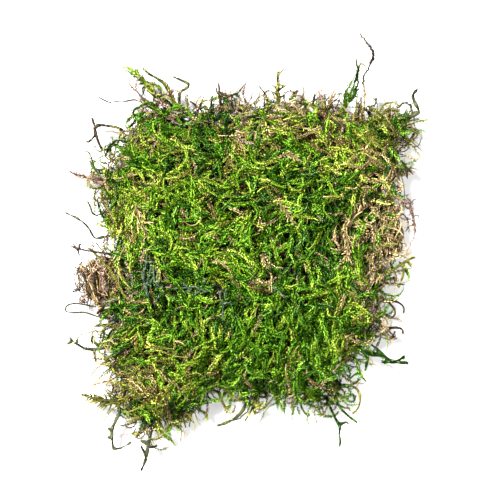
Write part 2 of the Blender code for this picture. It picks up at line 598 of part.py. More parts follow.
def bottom_stems():
    """Hooks, arcs and forks below the mat."""
    return [
        Stem("hook_bottom", "living_moss", [
            Limb(1.0, 0.7, [(-8, -41, 6), (-6.6, -45.6, 6.8), (-5.6, -48.6, 6.8),
                            (-4.4, -49.6, 6.7), (-3.7, -48.7, 6.7)])]),
        Stem("arc_stem_bottom", "dark_stem", [
            Limb(0.9, 0.6, [(1.8, -42, 6), (2, -46.5, 7), (1, -50, 7.4), (-1.8, -52.6, 7.6),
                            (-5, -54.3, 7.6), (-7.8, -55, 7.5)])]),
        Stem("curled_shoot_bottom", "living_moss", [
            Limb(1.0, 0.6, [(5.6, -42, 6), (4.6, -46.8, 6.6), (4.2, -49.5, 6.4),
                            (4.6, -51.6, 6.2)]),
            Limb(0.5, 0.4, [(4.2, -48.6, 6.5), (2.6, -51.3, 6.5), (1.1, -53.9, 6.3)]),
            Limb(0.8, 0.6, [(4.4, -48.6, 6.5), (7.6, -47.4, 7)])]),
        Stem("forked_stem_bottom", "dark_stem", [
            Limb(0.7, 0.4, [(18.4, -43, 6), (19, -47.8, 6.8), (19.8, -50.3, 6.6),
                            (21.9, -52.2, 6.2)]),
            Limb(0.3, 0.25, [(20.6, -51.1, 6.4), (22, -51.3, 6.4)])]),
        Stem("dark_fork_bottom_right", "dark_stem", [
            Limb(0.9, 0.4, [(26, -42, 6.2), (28.2, -48.4, 7.4), (29.8, -51.8, 7.2),
                            (31.8, -55.6, 7), (31.4, -58.2, 6.6), (32, -60, 6.2),
                            (31.6, -61.8, 5.8)]),
            Limb(0.6, 0.4, [(31.5, -55, 7), (33.8, -53.5, 7.5), (34.3, -54.6, 7.5)])]),
        Stem("green_stem_bottom_right", "living_moss", [
            Limb(1.0, 0.6, [(28.5, -42, 7), (31, -48.2, 8.4), (33, -50.8, 8.4),
                            (36.9, -53.8, 7.8)])]),
        Stem("arc_stem_bottom_right", "yellow_shoot", [
            Limb(0.6, 0.4, [(30.5, -41.5, 6.2), (36.7, -42.4, 7), (38.2, -44.8, 7),
                            (38.2, -48, 7), (36.9, -50.4, 7), (35.6, -51.1, 7)])]),
        Stem("bead_stem_bottom_right", "living_moss", [
            Limb(0.9, 0.7, [(29, -41.6, 7.6), (33.8, -42.6, 9), (36.2, -41.4, 9),
                            (37.8, -40.4, 9), (37.2, -39.6, 9)])]),
        Stem("drooping_shoot_bottom_right", "yellow_shoot", [
            Limb(1.2, 0.5, [(33.5, -30.5, 6.2), (36.8, -33.8, 7), (37.8, -36.5, 6.8),
                            (37.9, -38.3, 6.5), (40.1, -40.9, 6)]),
            Limb(0.4, 0.3, [(37.8, -38, 6.5), (36, -38.9, 6.4), (35, -40.2, 6.2)])]),
        Stem("dark_branch_bottom_right", "living_moss", [
            Limb(1.2, 0.7, [(34.5, -27.5, 7.6), (38.4, -30.8, 8.6), (42, -32.2, 8.6),
                            (45.2, -32.1, 8.3), (47, -33.9, 8), (50, -34.9, 7.8),
                            (53.8, -34.7, 7.6)]),
            Limb(0.6, 0.4, [(47.4, -34.2, 8), (44.9, -34.8, 7.7)]),
            Limb(0.7, 0.4, [(49.5, -34.7, 7.8), (52.5, -32.3, 8.3)]),
            Limb(0.6, 0.4, [(39.8, -31.4, 8.6), (40.6, -33.6, 8.2), (39.9, -36.7, 7.6)]),
            Limb(0.9, 0.5, [(44.4, -32, 8.4), (43.4, -30.2, 8.8), (41.5, -28.9, 9)])]),
    ]


def right_stems():
    """Stems and curls at the right."""
    return [
        Stem("branching_stem_right", "yellow_shoot", [
            Limb(1.0, 0.5, [(42, -8, 6.2), (47, -6, 7.4), (50.4, -4, 8), (53.4, -1.8, 8.4),
                            (55.8, -0.8, 8.5)]),
            Limb(0.5, 0.3, [(53.2, -2, 8.4), (54.6, -4.4, 8)]),
            Limb(0.7, 0.6, [(51.6, -3.2, 8.2), (52.3, -5.5, 7.8), (51.2, -9, 7.4)])]),
        Stem("dark_twig_right", "dark_stem", [
            Limb(0.6, 0.3, [(42, -10, 6.2), (46.2, -9.3, 6.8), (49, -9.4, 6.2),
                            (52.4, -9.8, 5.6)]),
            Limb(0.3, 0.25, [(50, -9.5, 6), (50.8, -11, 5.8)])]),
        Stem("upper_curl_right", "brown_stem", [
            Limb(0.8, 0.5, [(41.5, -15, 6.2), (46.4, -15.2, 7.6), (48.6, -14.9, 8),
                            (51, -15.6, 8), (52.4, -17.2, 7.8), (52, -19, 7.6)]),
            Limb(0.6, 0.5, [(46.8, -15.2, 7.6), (49.2, -17.2, 7), (49.6, -19.6, 6.6),
                            (47.8, -20.8, 6.4)])]),
        Stem("lower_curl_right", "brown_stem", [
            Limb(0.8, 0.6, [(42, -23, 6.2), (47, -23.7, 7.4), (50, -23.4, 7.6),
                            (52.1, -24.2, 7.5), (51.5, -25.7, 7.4)]),
            Limb(0.4, 0.3, [(46.8, -23.6, 7.3), (48, -25.6, 6.9), (49.3, -25.9, 6.8),
                            (49.2, -24.7, 6.8)])]),
        Stem("upper_twigs_right", "brown_stem", [
            Limb(0.7, 0.3, [(47, 29.2, 6.2), (51.4, 29.8, 7.4), (52.9, 27.8, 7.6),
                            (55.4, 25.2, 7.2)]),
            Limb(0.5, 0.4, [(52.7, 28.1, 7.6), (53.4, 23.9, 7)])]),
        Stem("hook_right", "grey_hair", [
            Limb(0.5, 0.3, [(49.5, 36.5, 6.2), (54.4, 35.1, 7), (55.9, 34.1, 7),
                            (57.3, 35, 7.2), (57.8, 37.6, 7.6)])]),
        Stem("short_twig_right", "dark_stem", [
            Limb(0.7, 0.4, [(50, 41, 6.2), (54.6, 40.5, 7.4), (56, 39.4, 7.2),
                            (57.5, 39.1, 7)])]),
        Stem("curled_tendril_top_right", "living_moss", [
            Limb(1.0, 0.6, [(49.5, 40.5, 7), (54, 43.8, 9), (57.3, 45.3, 9.4),
                            (56.3, 46.8, 9.6), (54.9, 49, 10), (54.9, 51, 10.3),
                            (56.4, 52.7, 10.5)])]),
    ]


def top_stems():
    """Fronds and twigs above the mat, from the right to the left."""
    return [
        Stem("twig_top_right", "dark_stem", [
            Limb(0.6, 0.4, [(45.5, 40.5, 6), (44.4, 45, 7.6), (43, 46.1, 7.8),
                            (40.6, 47.1, 7.8)])]),
        Stem("tall_frond_top_right", "living_moss", [
            Limb(1.6, 0.5, [(30.5, 42.5, 7), (33.2, 47.6, 10), (34.6, 50.6, 12),
                            (35.8, 53.2, 13.5), (36.7, 56, 14.5), (37.1, 58.4, 15),
                            (36.4, 61.6, 15.5)]),
            Limb(1.8, 0.7, [(34.6, 50.6, 12), (34.4, 53, 13.5), (35, 55.4, 14.5)]),
            Limb(1.4, 0.9, [(35.4, 52.4, 13.2), (37.6, 52.6, 13.4), (37.4, 50.6, 12.6)]),
            Limb(0.5, 0.4, [(37, 57.6, 15), (37.9, 60.2, 15.3), (39.4, 58.9, 15.3)])]),
        Stem("long_tendril_top_right", "brown_stem", [
            Limb(0.8, 0.4, [(38.5, 41, 7.6), (39.2, 47.5, 10), (39.4, 52, 11.5),
                            (38.8, 56.2, 12.8), (40.8, 59.2, 13.4), (42, 62.6, 13.8),
                            (41.3, 64.8, 13.8), (40, 67.2, 13.6), (38, 70, 13.2)])]),
        Stem("spruce_shoot_top", "living_moss", [
            Limb(1.3, 0.6, [(12, 45, 6.8), (11.8, 49.5, 9), (11.7, 53.5, 11),
                            (11.5, 57.9, 12.5)]),
            Limb(0.5, 0.4, [(11.6, 56.6, 12), (13.8, 59, 12.8)]),
            Limb(0.6, 0.4, [(11.7, 52.6, 10.6), (9.6, 54, 11)]),
            Limb(0.6, 0.4, [(11.8, 51, 10), (9.8, 51.8, 10.2)]),
            Limb(0.6, 0.4, [(11.7, 54.6, 11.4), (13.4, 53.4, 11.2)]),
            Limb(0.6, 0.4, [(11.8, 52.2, 10.4), (14.6, 53.8, 10.8)]),
            Limb(0.7, 0.4, [(11.8, 50, 9.4), (14, 50.4, 9.4)])]),
        Stem("thin_twig_top", "brown_stem", [
            Limb(0.6, 0.3, [(9.4, 45, 6.2), (8.6, 49.6, 7.8), (7.4, 51.8, 8.2),
                            (5.7, 53.8, 8.4)])]),
        Stem("brown_twigs_top", "brown_stem", [
            Limb(0.9, 0.5, [(-6, 43.5, 6.6), (-6.6, 48.6, 9), (-6.8, 51.8, 10),
                            (-7.2, 54.8, 10.8)]),
            Limb(0.5, 0.4, [(-6.7, 50.8, 9.8), (-7.9, 51.6, 10), (-7.9, 53.1, 10.2)]),
            Limb(0.5, 0.35, [(-6.6, 51, 9.8), (-3.4, 50.4, 9.8), (-0.8, 51.2, 10),
                             (0.8, 53.9, 10.4)])]),
        Stem("short_twig_top", "dark_stem", [
            Limb(0.7, 0.5, [(-10, 42.5, 6.2), (-9.8, 46.5, 7.4), (-9.1, 50.8, 8.4)])]),
        Stem("forked_twig_top", "brown_stem", [
            Limb(0.7, 0.4, [(-13, 42, 6.2), (-13.8, 46, 7.4), (-14.6, 47.9, 8),
                            (-16.4, 48.9, 8.4)]),
            Limb(0.5, 0.4, [(-13.8, 46.2, 7.5), (-12.9, 47.7, 8), (-12.2, 49.6, 8.6)])]),
    ]


def lying_limb(root, tip, places):
    """A limb laid along the mat's top, with both ends sunk back into it."""
    last = len(places) - 1
    route = []
    for index, (x, y) in enumerate(places):
        height = mat_surface(x, y) + max(root, tip) / 2 + LYING_CLEARANCE
        if index in (0, last):
            height -= LYING_END_DROP
        route.append((x, y, height))
    return Limb(root, tip, route)


def lying_stems():
    """Dead fronds and pale strands that lie on the mat."""
    return [
        Stem("tan_feather_left", "tan_frond", [
            lying_limb(2.6, 1.4, [(-33.2, 16), (-32.2, 12.5), (-31, 9.5), (-29.4, 6.4)])]),
        Stem("tan_strip_middle", "tan_frond", [
            lying_limb(1.8, 1.2, [(12.3, 17.8), (14.3, 14.5), (16, 11.4), (18.4, 7.8)])]),
        Stem("dead_frond_right", "tan_frond", [
            lying_limb(1.2, 2.2, [(33.4, 11), (33.3, 6.5), (34.6, 2), (33, -1.8), (29.6, -5)])]),
        Stem("tan_fan_right", "tan_frond", [
            lying_limb(1.0, 1.8, [(35.6, 7.4), (37.2, 11), (39.4, 13.4), (41.6, 14.6)])]),
        Stem("pale_curl_middle", "tan_frond", [
            lying_limb(1.5, 1.3, [(-8.6, -2.4), (-6.6, -2.4), (-4.8, -3.6), (-3.2, -5.6)])]),
        Stem("pale_strand_top", "tan_frond", [
            lying_limb(1.1, 1.0, [(11.8, 30.6), (14.2, 31.8), (16.6, 31), (19, 29.4)])]),
        Stem("yellow_strand_top", "yellow_shoot", [
            lying_limb(1.4, 1.0, [(-20, 41), (-17.6, 38.2), (-15.4, 36.2), (-12.6, 33.6)])]),
        Stem("grey_fork_middle", "grey_hair", [
            lying_limb(1.1, 0.8, [(-7, -9.6), (-5.8, -12.6), (-5.2, -16), (-5.5, -19.4)])]),
    ]


def stem_solid(name, group, limbs, swell):
    """A stem with its side limbs as one solid."""
    body = tube(name, limbs[0], group, swell)
    join_limbs(body, limbs[1:], swell)
    return body


def main():
    """Build the whole clump, each piece trimmed clear of those before it."""
    for obj in list(bpy.data.objects):
        bpy.data.objects.remove(obj)
    clump = collection("moss_clump")
    cutters = collection("clearances")
    palette = finishes()
    lying = lying_stems()

    def pad_solid(name, group, swell):
        return moss_pad(name, group, lying, swell)

    place_piece(pad_solid, "moss_pad", palette["living_moss"], clump, cutters)
    place_piece(dead_thatch_left, "dead_thatch_left", palette["dead_thatch"], clump, cutters)
    place_piece(dead_thatch_right, "dead_thatch_right", palette["dead_thatch"], clump, cutters)
    loose = top_left_stems() + left_stems() + bottom_left_stems() + bottom_stems()
    loose += right_stems() + top_stems() + lying
    for stem in loose:

        def solid(name, group, swell, limbs=stem.limbs):
            return stem_solid(name, group, limbs, swell)

        place_piece(solid, stem.name, palette[stem.finish], clump, cutters)


main()
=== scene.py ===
"""Looks of the feather moss clump: leafy shoots woven over a matted bed, dead thatch, loose stems.

Lengths are in millimetres until a mesh is made. A path is a row of points along a stem, and paths
are kept in arrays, a row for each stem, so that thousands of leaves are placed at once.
"""

import json
import math
from collections import namedtuple

import bpy
import numpy as np
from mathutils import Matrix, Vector
from mathutils.bvhtree import BVHTree


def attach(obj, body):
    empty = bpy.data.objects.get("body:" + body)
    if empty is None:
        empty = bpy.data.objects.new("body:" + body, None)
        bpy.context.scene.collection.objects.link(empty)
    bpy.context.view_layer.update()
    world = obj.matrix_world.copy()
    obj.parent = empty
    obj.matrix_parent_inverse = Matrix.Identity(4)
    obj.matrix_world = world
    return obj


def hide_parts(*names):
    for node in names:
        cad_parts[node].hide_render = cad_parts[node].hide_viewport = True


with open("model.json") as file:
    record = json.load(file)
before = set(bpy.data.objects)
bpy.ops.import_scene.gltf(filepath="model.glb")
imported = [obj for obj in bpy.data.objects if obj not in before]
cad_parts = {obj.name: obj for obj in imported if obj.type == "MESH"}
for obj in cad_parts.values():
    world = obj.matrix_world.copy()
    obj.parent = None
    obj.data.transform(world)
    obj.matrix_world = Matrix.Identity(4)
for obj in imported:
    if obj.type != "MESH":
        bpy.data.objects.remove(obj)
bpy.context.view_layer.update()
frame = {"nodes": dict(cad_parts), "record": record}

MM = 0.001
UP = np.array([0.0, 0.0, 1.0])
PATH_POINTS = 10

# The camera
VIEW_CENTRE = (2.88, 1.28)   # the point that it looks straight down on
VIEW_WIDTH = 160.0           # how much it sees from side to side
VIEW_PLANE = 8.0             # at this height over the floor
CAMERA_DISTANCE = 700.0
SENSOR_WIDTH = 36.0

# The mat, as read from the frame
FIELD_STEP = 1.0
FIELD_REACH = 72             # in steps from the middle
GRID_SIZE = 2 * FIELD_REACH + 1
FIELD_OPENING = 3            # in steps: ridges up to twice as wide are taken off the bed
RAY_START = 60.0             # rays are cast down on the solid from this height
RIM_HEIGHT = 4.0             # the rim is where the bed's top comes down to this
RIM_START = 20.0             # it is looked for from here outwards
RIM_STEP = 0.5
RIM_ANGLES = 360
EDGE_SHARE = 0.95            # past this share of the rim's distance a shoot droops
DROOP = 0.55                 # how fast it droops
FLOOR_CLEARANCE = 0.5
GROUND = 0.02                # no leaf goes lower than this

chance = np.random.default_rng(11)


# ---------------------------------------------------------------- shader maths

class Field:
    """A value or a colour that varies over a surface, with arithmetic that adds nodes."""

    def __init__(self, tree, socket):
        self.tree = tree
        self.socket = socket

    def maths(self, operation, first, second):
        return node(self.tree, "ShaderNodeMath", {"operation": operation}, {0: first, 1: second})

    def __add__(self, other):
        return self.maths("ADD", self, other)

    def __radd__(self, other):
        return self.maths("ADD", other, self)

    def __sub__(self, other):
        return self.maths("SUBTRACT", self, other)

    def __rsub__(self, other):
        return self.maths("SUBTRACT", other, self)

    def __mul__(self, other):
        return self.maths("MULTIPLY", self, other)

    def __rmul__(self, other):
        return self.maths("MULTIPLY", other, self)

    def __pow__(self, other):
        return self.maths("POWER", self, other)


def node(tree, kind, settings=None, inputs=None, output=0):
    """A node with its settings made and its sockets filled or linked, as the field it gives."""
    made = tree.nodes.new(kind)
    for name, value in (settings or {}).items():
        if name == "stops":
            fill_ramp(made.color_ramp, value)
        else:
            setattr(made, name, value)
    for name, value in (inputs or {}).items():
        if isinstance(value, Field):
            tree.links.new(value.socket, made.inputs[name])
        else:
            made.inputs[name].default_value = value
    return Field(tree, made.outputs[output])


def fill_ramp(ramp, stops):
    """Give a colour ramp its stops: (place, (red, green, blue))."""
    while len(ramp.elements) > 1:
        ramp.elements.remove(ramp.elements[-1])
    for index, (place, colour) in enumerate(stops):
        stop = ramp.elements[0] if index == 0 else ramp.elements.new(place)
        stop.position = place
        stop.color = (*colour, 1.0)


def tinted(colour, strength):
    """A colour made lighter or darker all round by a value."""
    tree = colour.tree
    grey = node(tree, "ShaderNodeCombineXYZ", {}, {"X": strength, "Y": strength, "Z": strength})
    return node(tree, "ShaderNodeVectorMath", {"operation": "MULTIPLY"}, {0: colour, 1: grey})


def noise_field(tree, scale, detail, stretch=None):
    """Noise over the object's own coordinates, from 0 to 1. scale is in bumps per metre."""
    place = node(tree, "ShaderNodeTexCoord", output=3)
    if stretch:
        place = node(tree, "ShaderNodeMapping", {}, {"Vector": place, "Scale": stretch})
    return node(tree, "ShaderNodeTexNoise", {},
                {"Vector": place, "Scale": scale, "Detail": detail})


def new_finish(name, roughness, specular):
    """A material with the shader's own constant values set."""
    finish = bpy.data.materials.new(name)
    finish.use_nodes = True
    shader = finish.node_tree.nodes["Principled BSDF"]
    shader.inputs["Roughness"].default_value = roughness
    shader.inputs["Specular IOR Level"].default_value = specular
    return finish, finish.node_tree, shader


def plug(field, shader, socket):
    """Feed a field to one of the shader's sockets."""
    field.tree.links.new(field.socket, shader.inputs[socket])


def roughen(shader, strength, depth, height):
    """Raise the surface by a field. depth is in metres."""
    bump = node(height.tree, "ShaderNodeBump", {},
                {"Strength": strength, "Distance": depth, "Height": height})
    plug(bump, shader, "Normal")


# ---------------------------------------------------------------- finishes

# Where each kind of shoot stands on the row of leaf colours: the greens run into each other, and
# each dead tone has a band of its own, from a leaf's foot to its tip
DEEP, GREEN, BRIGHT, LIME, YELLOW = 0.03, 0.12, 0.21, 0.30, 0.38
MOSSY, OLIVE, DARK, BROWN, PINK, TAN = 0.485, 0.58, 0.675, 0.765, 0.85, 0.93
DARK_OLIVE, FERN, PLUM = 0.53, 0.57, 0.842      # by the ends of the bands
TIP_SHIFT = 0.06             # a leaf's tip takes the colour this much further along the row
LAST_LIVING = 0.46           # tones up to here are leafy shoots, and the rest are thinner

LEAF_COLOURS = (
    (0.00, (0.003, 0.012, 0.001)),
    (0.03, (0.008, 0.040, 0.001)),
    (0.12, (0.036, 0.140, 0.001)),
    (0.21, (0.100, 0.260, 0.004)),
    (0.30, (0.200, 0.370, 0.014)),
    (0.38, (0.370, 0.430, 0.045)),
    (0.44, (0.600, 0.560, 0.140)),
    (0.47, (0.022, 0.028, 0.009)),
    (0.55, (0.140, 0.155, 0.070)),
    (0.57, (0.120, 0.130, 0.016)),
    (0.64, (0.400, 0.370, 0.060)),
    (0.66, (0.030, 0.020, 0.010)),
    (0.74, (0.120, 0.078, 0.040)),
    (0.75, (0.150, 0.080, 0.028)),
    (0.83, (0.360, 0.230, 0.095)),
    (0.84, (0.240, 0.130, 0.095)),
    (0.91, (0.600, 0.410, 0.330)),
    (0.92, (0.440, 0.290, 0.110)),
    (1.00, (0.740, 0.560, 0.270)),
)
# The whitish colour that leaf tips turn to: a painted highlight
PAINTED_HIGHLIGHT = (0.54, 0.57, 0.29, 1.0)


def leaf_finish():
    """Leaves: one axis of the map is a shoot's tone, and the other runs from leaf base to tip."""
    finish, tree, shader = new_finish("moss_leaf", 0.42, 0.06)
    spot = node(tree, "ShaderNodeUVMap", {"uv_map": "OFBake"})
    tone = node(tree, "ShaderNodeSeparateXYZ", {}, {0: spot}, 0)
    along_leaf = node(tree, "ShaderNodeSeparateXYZ", {}, {0: spot}, 1)
    place_in_row = tone + along_leaf * TIP_SHIFT
    colour = node(tree, "ShaderNodeValToRGB", {"stops": LEAF_COLOURS}, {0: place_in_row})
    cells = noise_field(tree, 2600.0, 2.0)
    # Painted shade at a leaf's foot, where the leaves over it cover it, and painted light towards
    # its tip, in spots at random, and only the very end turns pale with a painted highlight
    light = ((along_leaf ** 2.4) * 3.30 + 0.02) * (cells * 0.8 + 0.6)
    highlight_share = (along_leaf ** 6.0) * (cells * 1.7 - 0.45)
    highlighted = node(tree, "ShaderNodeMix", {"data_type": "RGBA"},
                {0: highlight_share, 6: colour, 7: PAINTED_HIGHLIGHT}, 2)
    plug(tinted(highlighted, light), shader, "Base Color")
    plug(0.55 - along_leaf * 0.2, shader, "Roughness")
    roughen(shader, 0.35, 0.0001, cells)
    return finish


def thread_finish():
    """Threads: a grey-green, waxy skin, worn paler in places."""
    finish, tree, shader = new_finish("grey_thread", 0.6, 0.08)
    wear = noise_field(tree, 1100.0, 4.0)
    stops = ((0.32, (0.006, 0.013, 0.008)), (0.50, (0.034, 0.058, 0.035)),
             (0.66, (0.125, 0.170, 0.105)))
    colour = node(tree, "ShaderNodeValToRGB", {"stops": stops}, {0: wear})
    plug(colour, shader, "Base Color")
    plug(0.45 + wear * 0.3, shader, "Roughness")
    roughen(shader, 0.4, 0.0001, wear)
    return finish


def bed_finish():
    """The matted bed under the shoots: dark stems and crumbs of dead leaf, its darkest colours
    painted shade in the gaps between the shoots.
    """
    finish, tree, shader = new_finish("matted_bed", 0.9, 0.2)
    coarse = noise_field(tree, 420.0, 5.0)
    fine = noise_field(tree, 1900.0, 3.0, (1.0, 0.35, 1.0))
    stops = ((0.30, (0.006, 0.008, 0.003)), (0.48, (0.022, 0.022, 0.008)),
             (0.60, (0.060, 0.040, 0.018)), (0.74, (0.13, 0.085, 0.045)))
    colour = node(tree, "ShaderNodeValToRGB", {"stops": stops}, {0: coarse * 0.6 + fine * 0.4})
    plug(colour, shader, "Base Color")
    plug(0.75 + fine * 0.25, shader, "Roughness")
    roughen(shader, 0.8, 0.0006, fine + coarse)
    return finish


FLOOR_GREY = 0.60
FLOOR_GLOW = 0.28            # how far the floor lights itself, to stay white beside the mat


def floor_finish():
    """A plain white floor."""
    finish, _, shader = new_finish("white_floor", 0.9, 0.1)
    shader.inputs["Base Color"].default_value = (FLOOR_GREY, FLOOR_GREY, FLOOR_GREY, 1.0)
    shader.inputs["Emission Color"].default_value = (1.0, 1.0, 1.0, 1.0)
    shader.inputs["Emission Strength"].default_value = FLOOR_GLOW
    return finish


# ---------------------------------------------------------------- the mat's form, from the frame

def unit(vectors):
    """The vectors made one long."""
    return vectors / np.maximum(np.linalg.norm(vectors, axis=-1, keepdims=True), 1e-9)


def cad_tree(name):
    """A search tree over a solid of the frame, in millimetres."""
    mesh = frame["nodes"][name].data
    places = [vertex.co / MM for vertex in mesh.vertices]
    faces = [tuple(face.vertices) for face in mesh.polygons]
    return BVHTree.FromPolygons(places, faces)


def spread_over(field, steps, pick):
    """The lowest or highest value within some steps of each point of a grid."""
    result = field.copy()
    for _ in range(steps):
        around = [result]
        for axis in (0, 1):
            for shift in (-1, 1):
                around.append(np.roll(result, shift, axis))
        result = pick(around, axis=0)
    return result


def grid_points():
    """The row, the column and the place of each point of the mat's grid."""
    places = np.arange(-FIELD_REACH, FIELD_REACH + 1) * FIELD_STEP
    for row, y in enumerate(places):
        for column, x in enumerate(places):
            yield row, column, x, y


def bed_field():
    """Heights of the mat's top on a grid, with its own shoots taken off."""
    pad = cad_tree("moss_pad")
    heights = np.zeros((GRID_SIZE, GRID_SIZE))
    for row, column, x, y in grid_points():
        hit = pad.ray_cast(Vector((x, y, RAY_START)), Vector((0, 0, -1)))[0]
        heights[row, column] = hit.z if hit else 0.0
    heights = spread_over(heights, FIELD_OPENING, np.min)
    return spread_over(heights, FIELD_OPENING, np.max)


def blended(grid, low, left, up, across):
    """A grid's values at shares of the way up and across from its points to the next ones."""
    near = grid[low, left] * (1 - across) + grid[low, left + 1] * across
    far = grid[low + 1, left] * (1 - across) + grid[low + 1, left + 1] * across
    return near * (1 - up) + far * up


def field_at(field, x, y):
    """The grid's values at points, in straight lines between its points."""
    column = np.clip(x / FIELD_STEP + FIELD_REACH, 0, 2 * FIELD_REACH - 0.001)
    row = np.clip(y / FIELD_STEP + FIELD_REACH, 0, 2 * FIELD_REACH - 0.001)
    left = np.floor(column).astype(int)
    low = np.floor(row).astype(int)
    return blended(field, low, left, row - low, column - left)


def rim_of(field):
    """The distance of the mat's rim from the middle, for each degree."""
    angles = np.radians(np.arange(RIM_ANGLES))
    rim = np.zeros(RIM_ANGLES)
    for distance in np.arange(RIM_START, FIELD_REACH, RIM_STEP):
        inside = field_at(field, distance * np.cos(angles), distance * np.sin(angles)) > RIM_HEIGHT
        rim[inside] = distance
    return rim


LYING_ON_TOP = ("tan_feather_left", "tan_strip_middle", "dead_frond_right", "tan_fan_right",
                "pale_curl_middle", "pale_strand_top", "grey_fork_middle")
OPEN_SKY = 99.0
COVER_SEARCH = 3.0           # how far from the mat's top a frond is looked for
COVER_WIDTH = 0.8            # in steps: how far off a frond in plan its cover reaches
COVER_MARGIN = 2             # in steps: how much further the shoots keep under it
COVER_GAP = 0.2


def cover_field():
    """The height under which shoots stay, where a dead frond lies over them."""
    fronds = [cad_tree(name) for name in LYING_ON_TOP]
    cover = np.full((GRID_SIZE, GRID_SIZE), OPEN_SKY)
    for row, column, x, y in grid_points():
        for frond in fronds:
            hit = frond.find_nearest(Vector((x, y, field_at(BED, x, y))), COVER_SEARCH)[0]
            if hit and math.hypot(hit.x - x, hit.y - y) < FIELD_STEP * COVER_WIDTH:
                cover[row, column] = min(cover[row, column], hit.z - COVER_GAP)
    return spread_over(cover, COVER_MARGIN, np.min)


BED = bed_field()
COVER = cover_field()
RIM = rim_of(BED)


def rim_distance(x, y):
    """How far the rim is from the middle in the direction of each point."""
    degrees = np.degrees(np.arctan2(y, x)) % 360
    low = degrees.astype(int) % RIM_ANGLES
    part = degrees - degrees.astype(int)
    return RIM[low] * (1 - part) + RIM[(low + 1) % RIM_ANGLES] * part


def rim_at(degrees):
    """The rim's distance at whole and part degrees from 0 to 360."""
    return np.interp(degrees, np.arange(RIM_ANGLES + 1), np.append(RIM, RIM[0]))


def share_of_reach(x, y):
    """How far out points lie: 0 in the middle and 1 on the rim."""
    return np.hypot(x, y) / rim_distance(x, y)


def surface(x, y):
    """The height that a shoot lies at: the mat's top, and a slope down past its rim."""
    reach = np.hypot(x, y)
    edge = rim_distance(x, y) * EDGE_SHARE
    past = np.maximum(reach - edge, 0.0)
    kept = np.where(reach > edge, edge / np.maximum(reach, 1e-6), 1.0)
    return np.maximum(field_at(BED, x * kept, y * kept) - DROOP * past, FLOOR_CLEARANCE)


def eased(share):
    """A share from 0 to 1 that starts and ends gently."""
    return share * share * (3 - 2 * share)


def soft_noise(x, y, width, seed):
    """Smooth values from -1 to 1 that change over about this width."""
    size = 64
    lattice = np.random.default_rng(seed).uniform(-1, 1, (size, size))
    column = x / width + size // 2
    row = y / width + size // 2
    left = np.floor(column).astype(int) % (size - 1)
    low = np.floor(row).astype(int) % (size - 1)
    across = eased(column - np.floor(column))
    up = eased(row - np.floor(row))
    return blended(lattice, low, left, up, across)


# ---------------------------------------------------------------- leaves and stems as arrays

# How a shoot's leaves grow: leaves on each millimetre of stem, a leaf's length and width, its lean
# away from the stem, how far round the stem the leaves go, the stem's thickness, and how bright
# the leaves' tips are on the dullest and the brightest shoot: painted light, kept low on the under
# layer as painted shade, and varied at random from shoot to shoot
Habit = namedtuple("Habit", "density length width lean wrap stem glow")
ROPE = Habit(5.6, 1.18, 0.70, 0.60, 1.00, 0.50, (0.68, 1.0))
# The under layer's leaf tips are dimmed: painted shade under the shoots above
UNDER_ROPE = Habit(3.6, 1.50, 0.66, 0.48, 1.00, 0.45, (0.45, 0.65))
CURL = Habit(3.8, 1.10, 0.46, 0.55, 1.25, 0.34, (0.68, 1.0))
THATCH = Habit(2.6, 1.30, 0.50, 0.50, 1.25, 0.40, (0.65, 0.95))
FEWEST_LEAVES = 8
LEAF_RANKS = (-0.75, 0.75, -1.8, 1.8)    # the turns round a shoot at which its leaves stand
RANK_JITTER = 0.2
SHOOT_ROLL = 0.4
LEAN_JITTER = 0.16
LEAF_SIZES = (0.8, 1.15)
TONE_JITTER = 0.012

# A leaf's form, in shares of its length or its width
WIDEST = 0.42                # where along a leaf it is widest
KEEL = 0.50                  # where along a spoon-shaped leaf its keel is deepest
CUP = 0.16                   # how far its edges bend back, and its keel stands out
TIP_BEND = -0.10             # how far its tip bends outwards: under 0, in towards the stem

MAP_HALF_WIDTH = 0.004       # how much of the tone axis a leaf takes on the map
SIDES = (0, -1, 0, 1, 0.2)   # on which side of the leaf's middle each of its points is mapped
STEM_DULLEST = 0.70          # the share of its shade that the dullest stem keeps

# Shoots or stems, each with a path and a tone
Sprigs = namedtuple("Sprigs", "paths tones")
# Small shapes by the thousand: their points, their faces, and the place of each point on the map
Cloud = namedtuple("Cloud", "places faces maps")


def along(paths, which, share):
    """Places and directions at shares of the way along chosen paths."""
    steps = paths.shape[1] - 1
    spot = np.clip(share, 0.0, 0.9999) * steps
    index = spot.astype(int)
    part = (spot - index)[:, None]
    start = paths[which, index]
    end = paths[which, index + 1]
    return start + (end - start) * part, unit(end - start)


def lengths_of(paths):
    """How long each path is."""
    return np.linalg.norm(np.diff(paths, axis=1), axis=2).sum(axis=1)


def size_along(share):
    """A leaf's size along its shoot: small at the foot, full in the middle, small at the tip."""
    return np.minimum(0.55 + 2.0 * share, 1.0) * np.clip(2.6 * (1.04 - share), 0.3, 1.0)


def leaf_shapes(foot, grow, face, length, width, fine):
    """Each leaf's points and their places on the map: a spoon of four faces, or a keel of two."""
    across = np.cross(grow, face)
    long = length[:, None]
    wide = width[:, None]
    tip = foot + grow * long + face * (TIP_BEND * long)
    belly = foot + grow * (WIDEST * long)
    left = belly + across * (0.5 * wide) - face * (CUP * wide)
    right = belly - across * (0.5 * wide) - face * (CUP * wide)
    if not fine:
        shape = np.stack([foot, left, tip, right], 1)
        return shape, ((0, 1, 2), (0, 2, 3)), (0, WIDEST, 1, WIDEST)
    keel = foot + grow * (KEEL * long) + face * (CUP * wide)
    shape = np.stack([foot, left, tip, right, keel], 1)
    faces = ((0, 1, 4), (1, 2, 4), (2, 3, 4), (3, 0, 4))
    return shape, faces, (0, WIDEST, 1, WIDEST, KEEL)


def leaning(forward, out, lean):
    """The directions in which leaves grow and face when they lean out from a stem."""
    grow = forward * np.cos(lean)[:, None] + out * np.sin(lean)[:, None]
    face = out * np.cos(lean)[:, None] - forward * np.sin(lean)[:, None]
    return grow, face


def copied(faces, count, size):
    """The faces of a number of copies of a shape with this many points."""
    return (np.arange(count)[:, None, None] * size + np.array(faces)[None]).reshape(-1, 3)


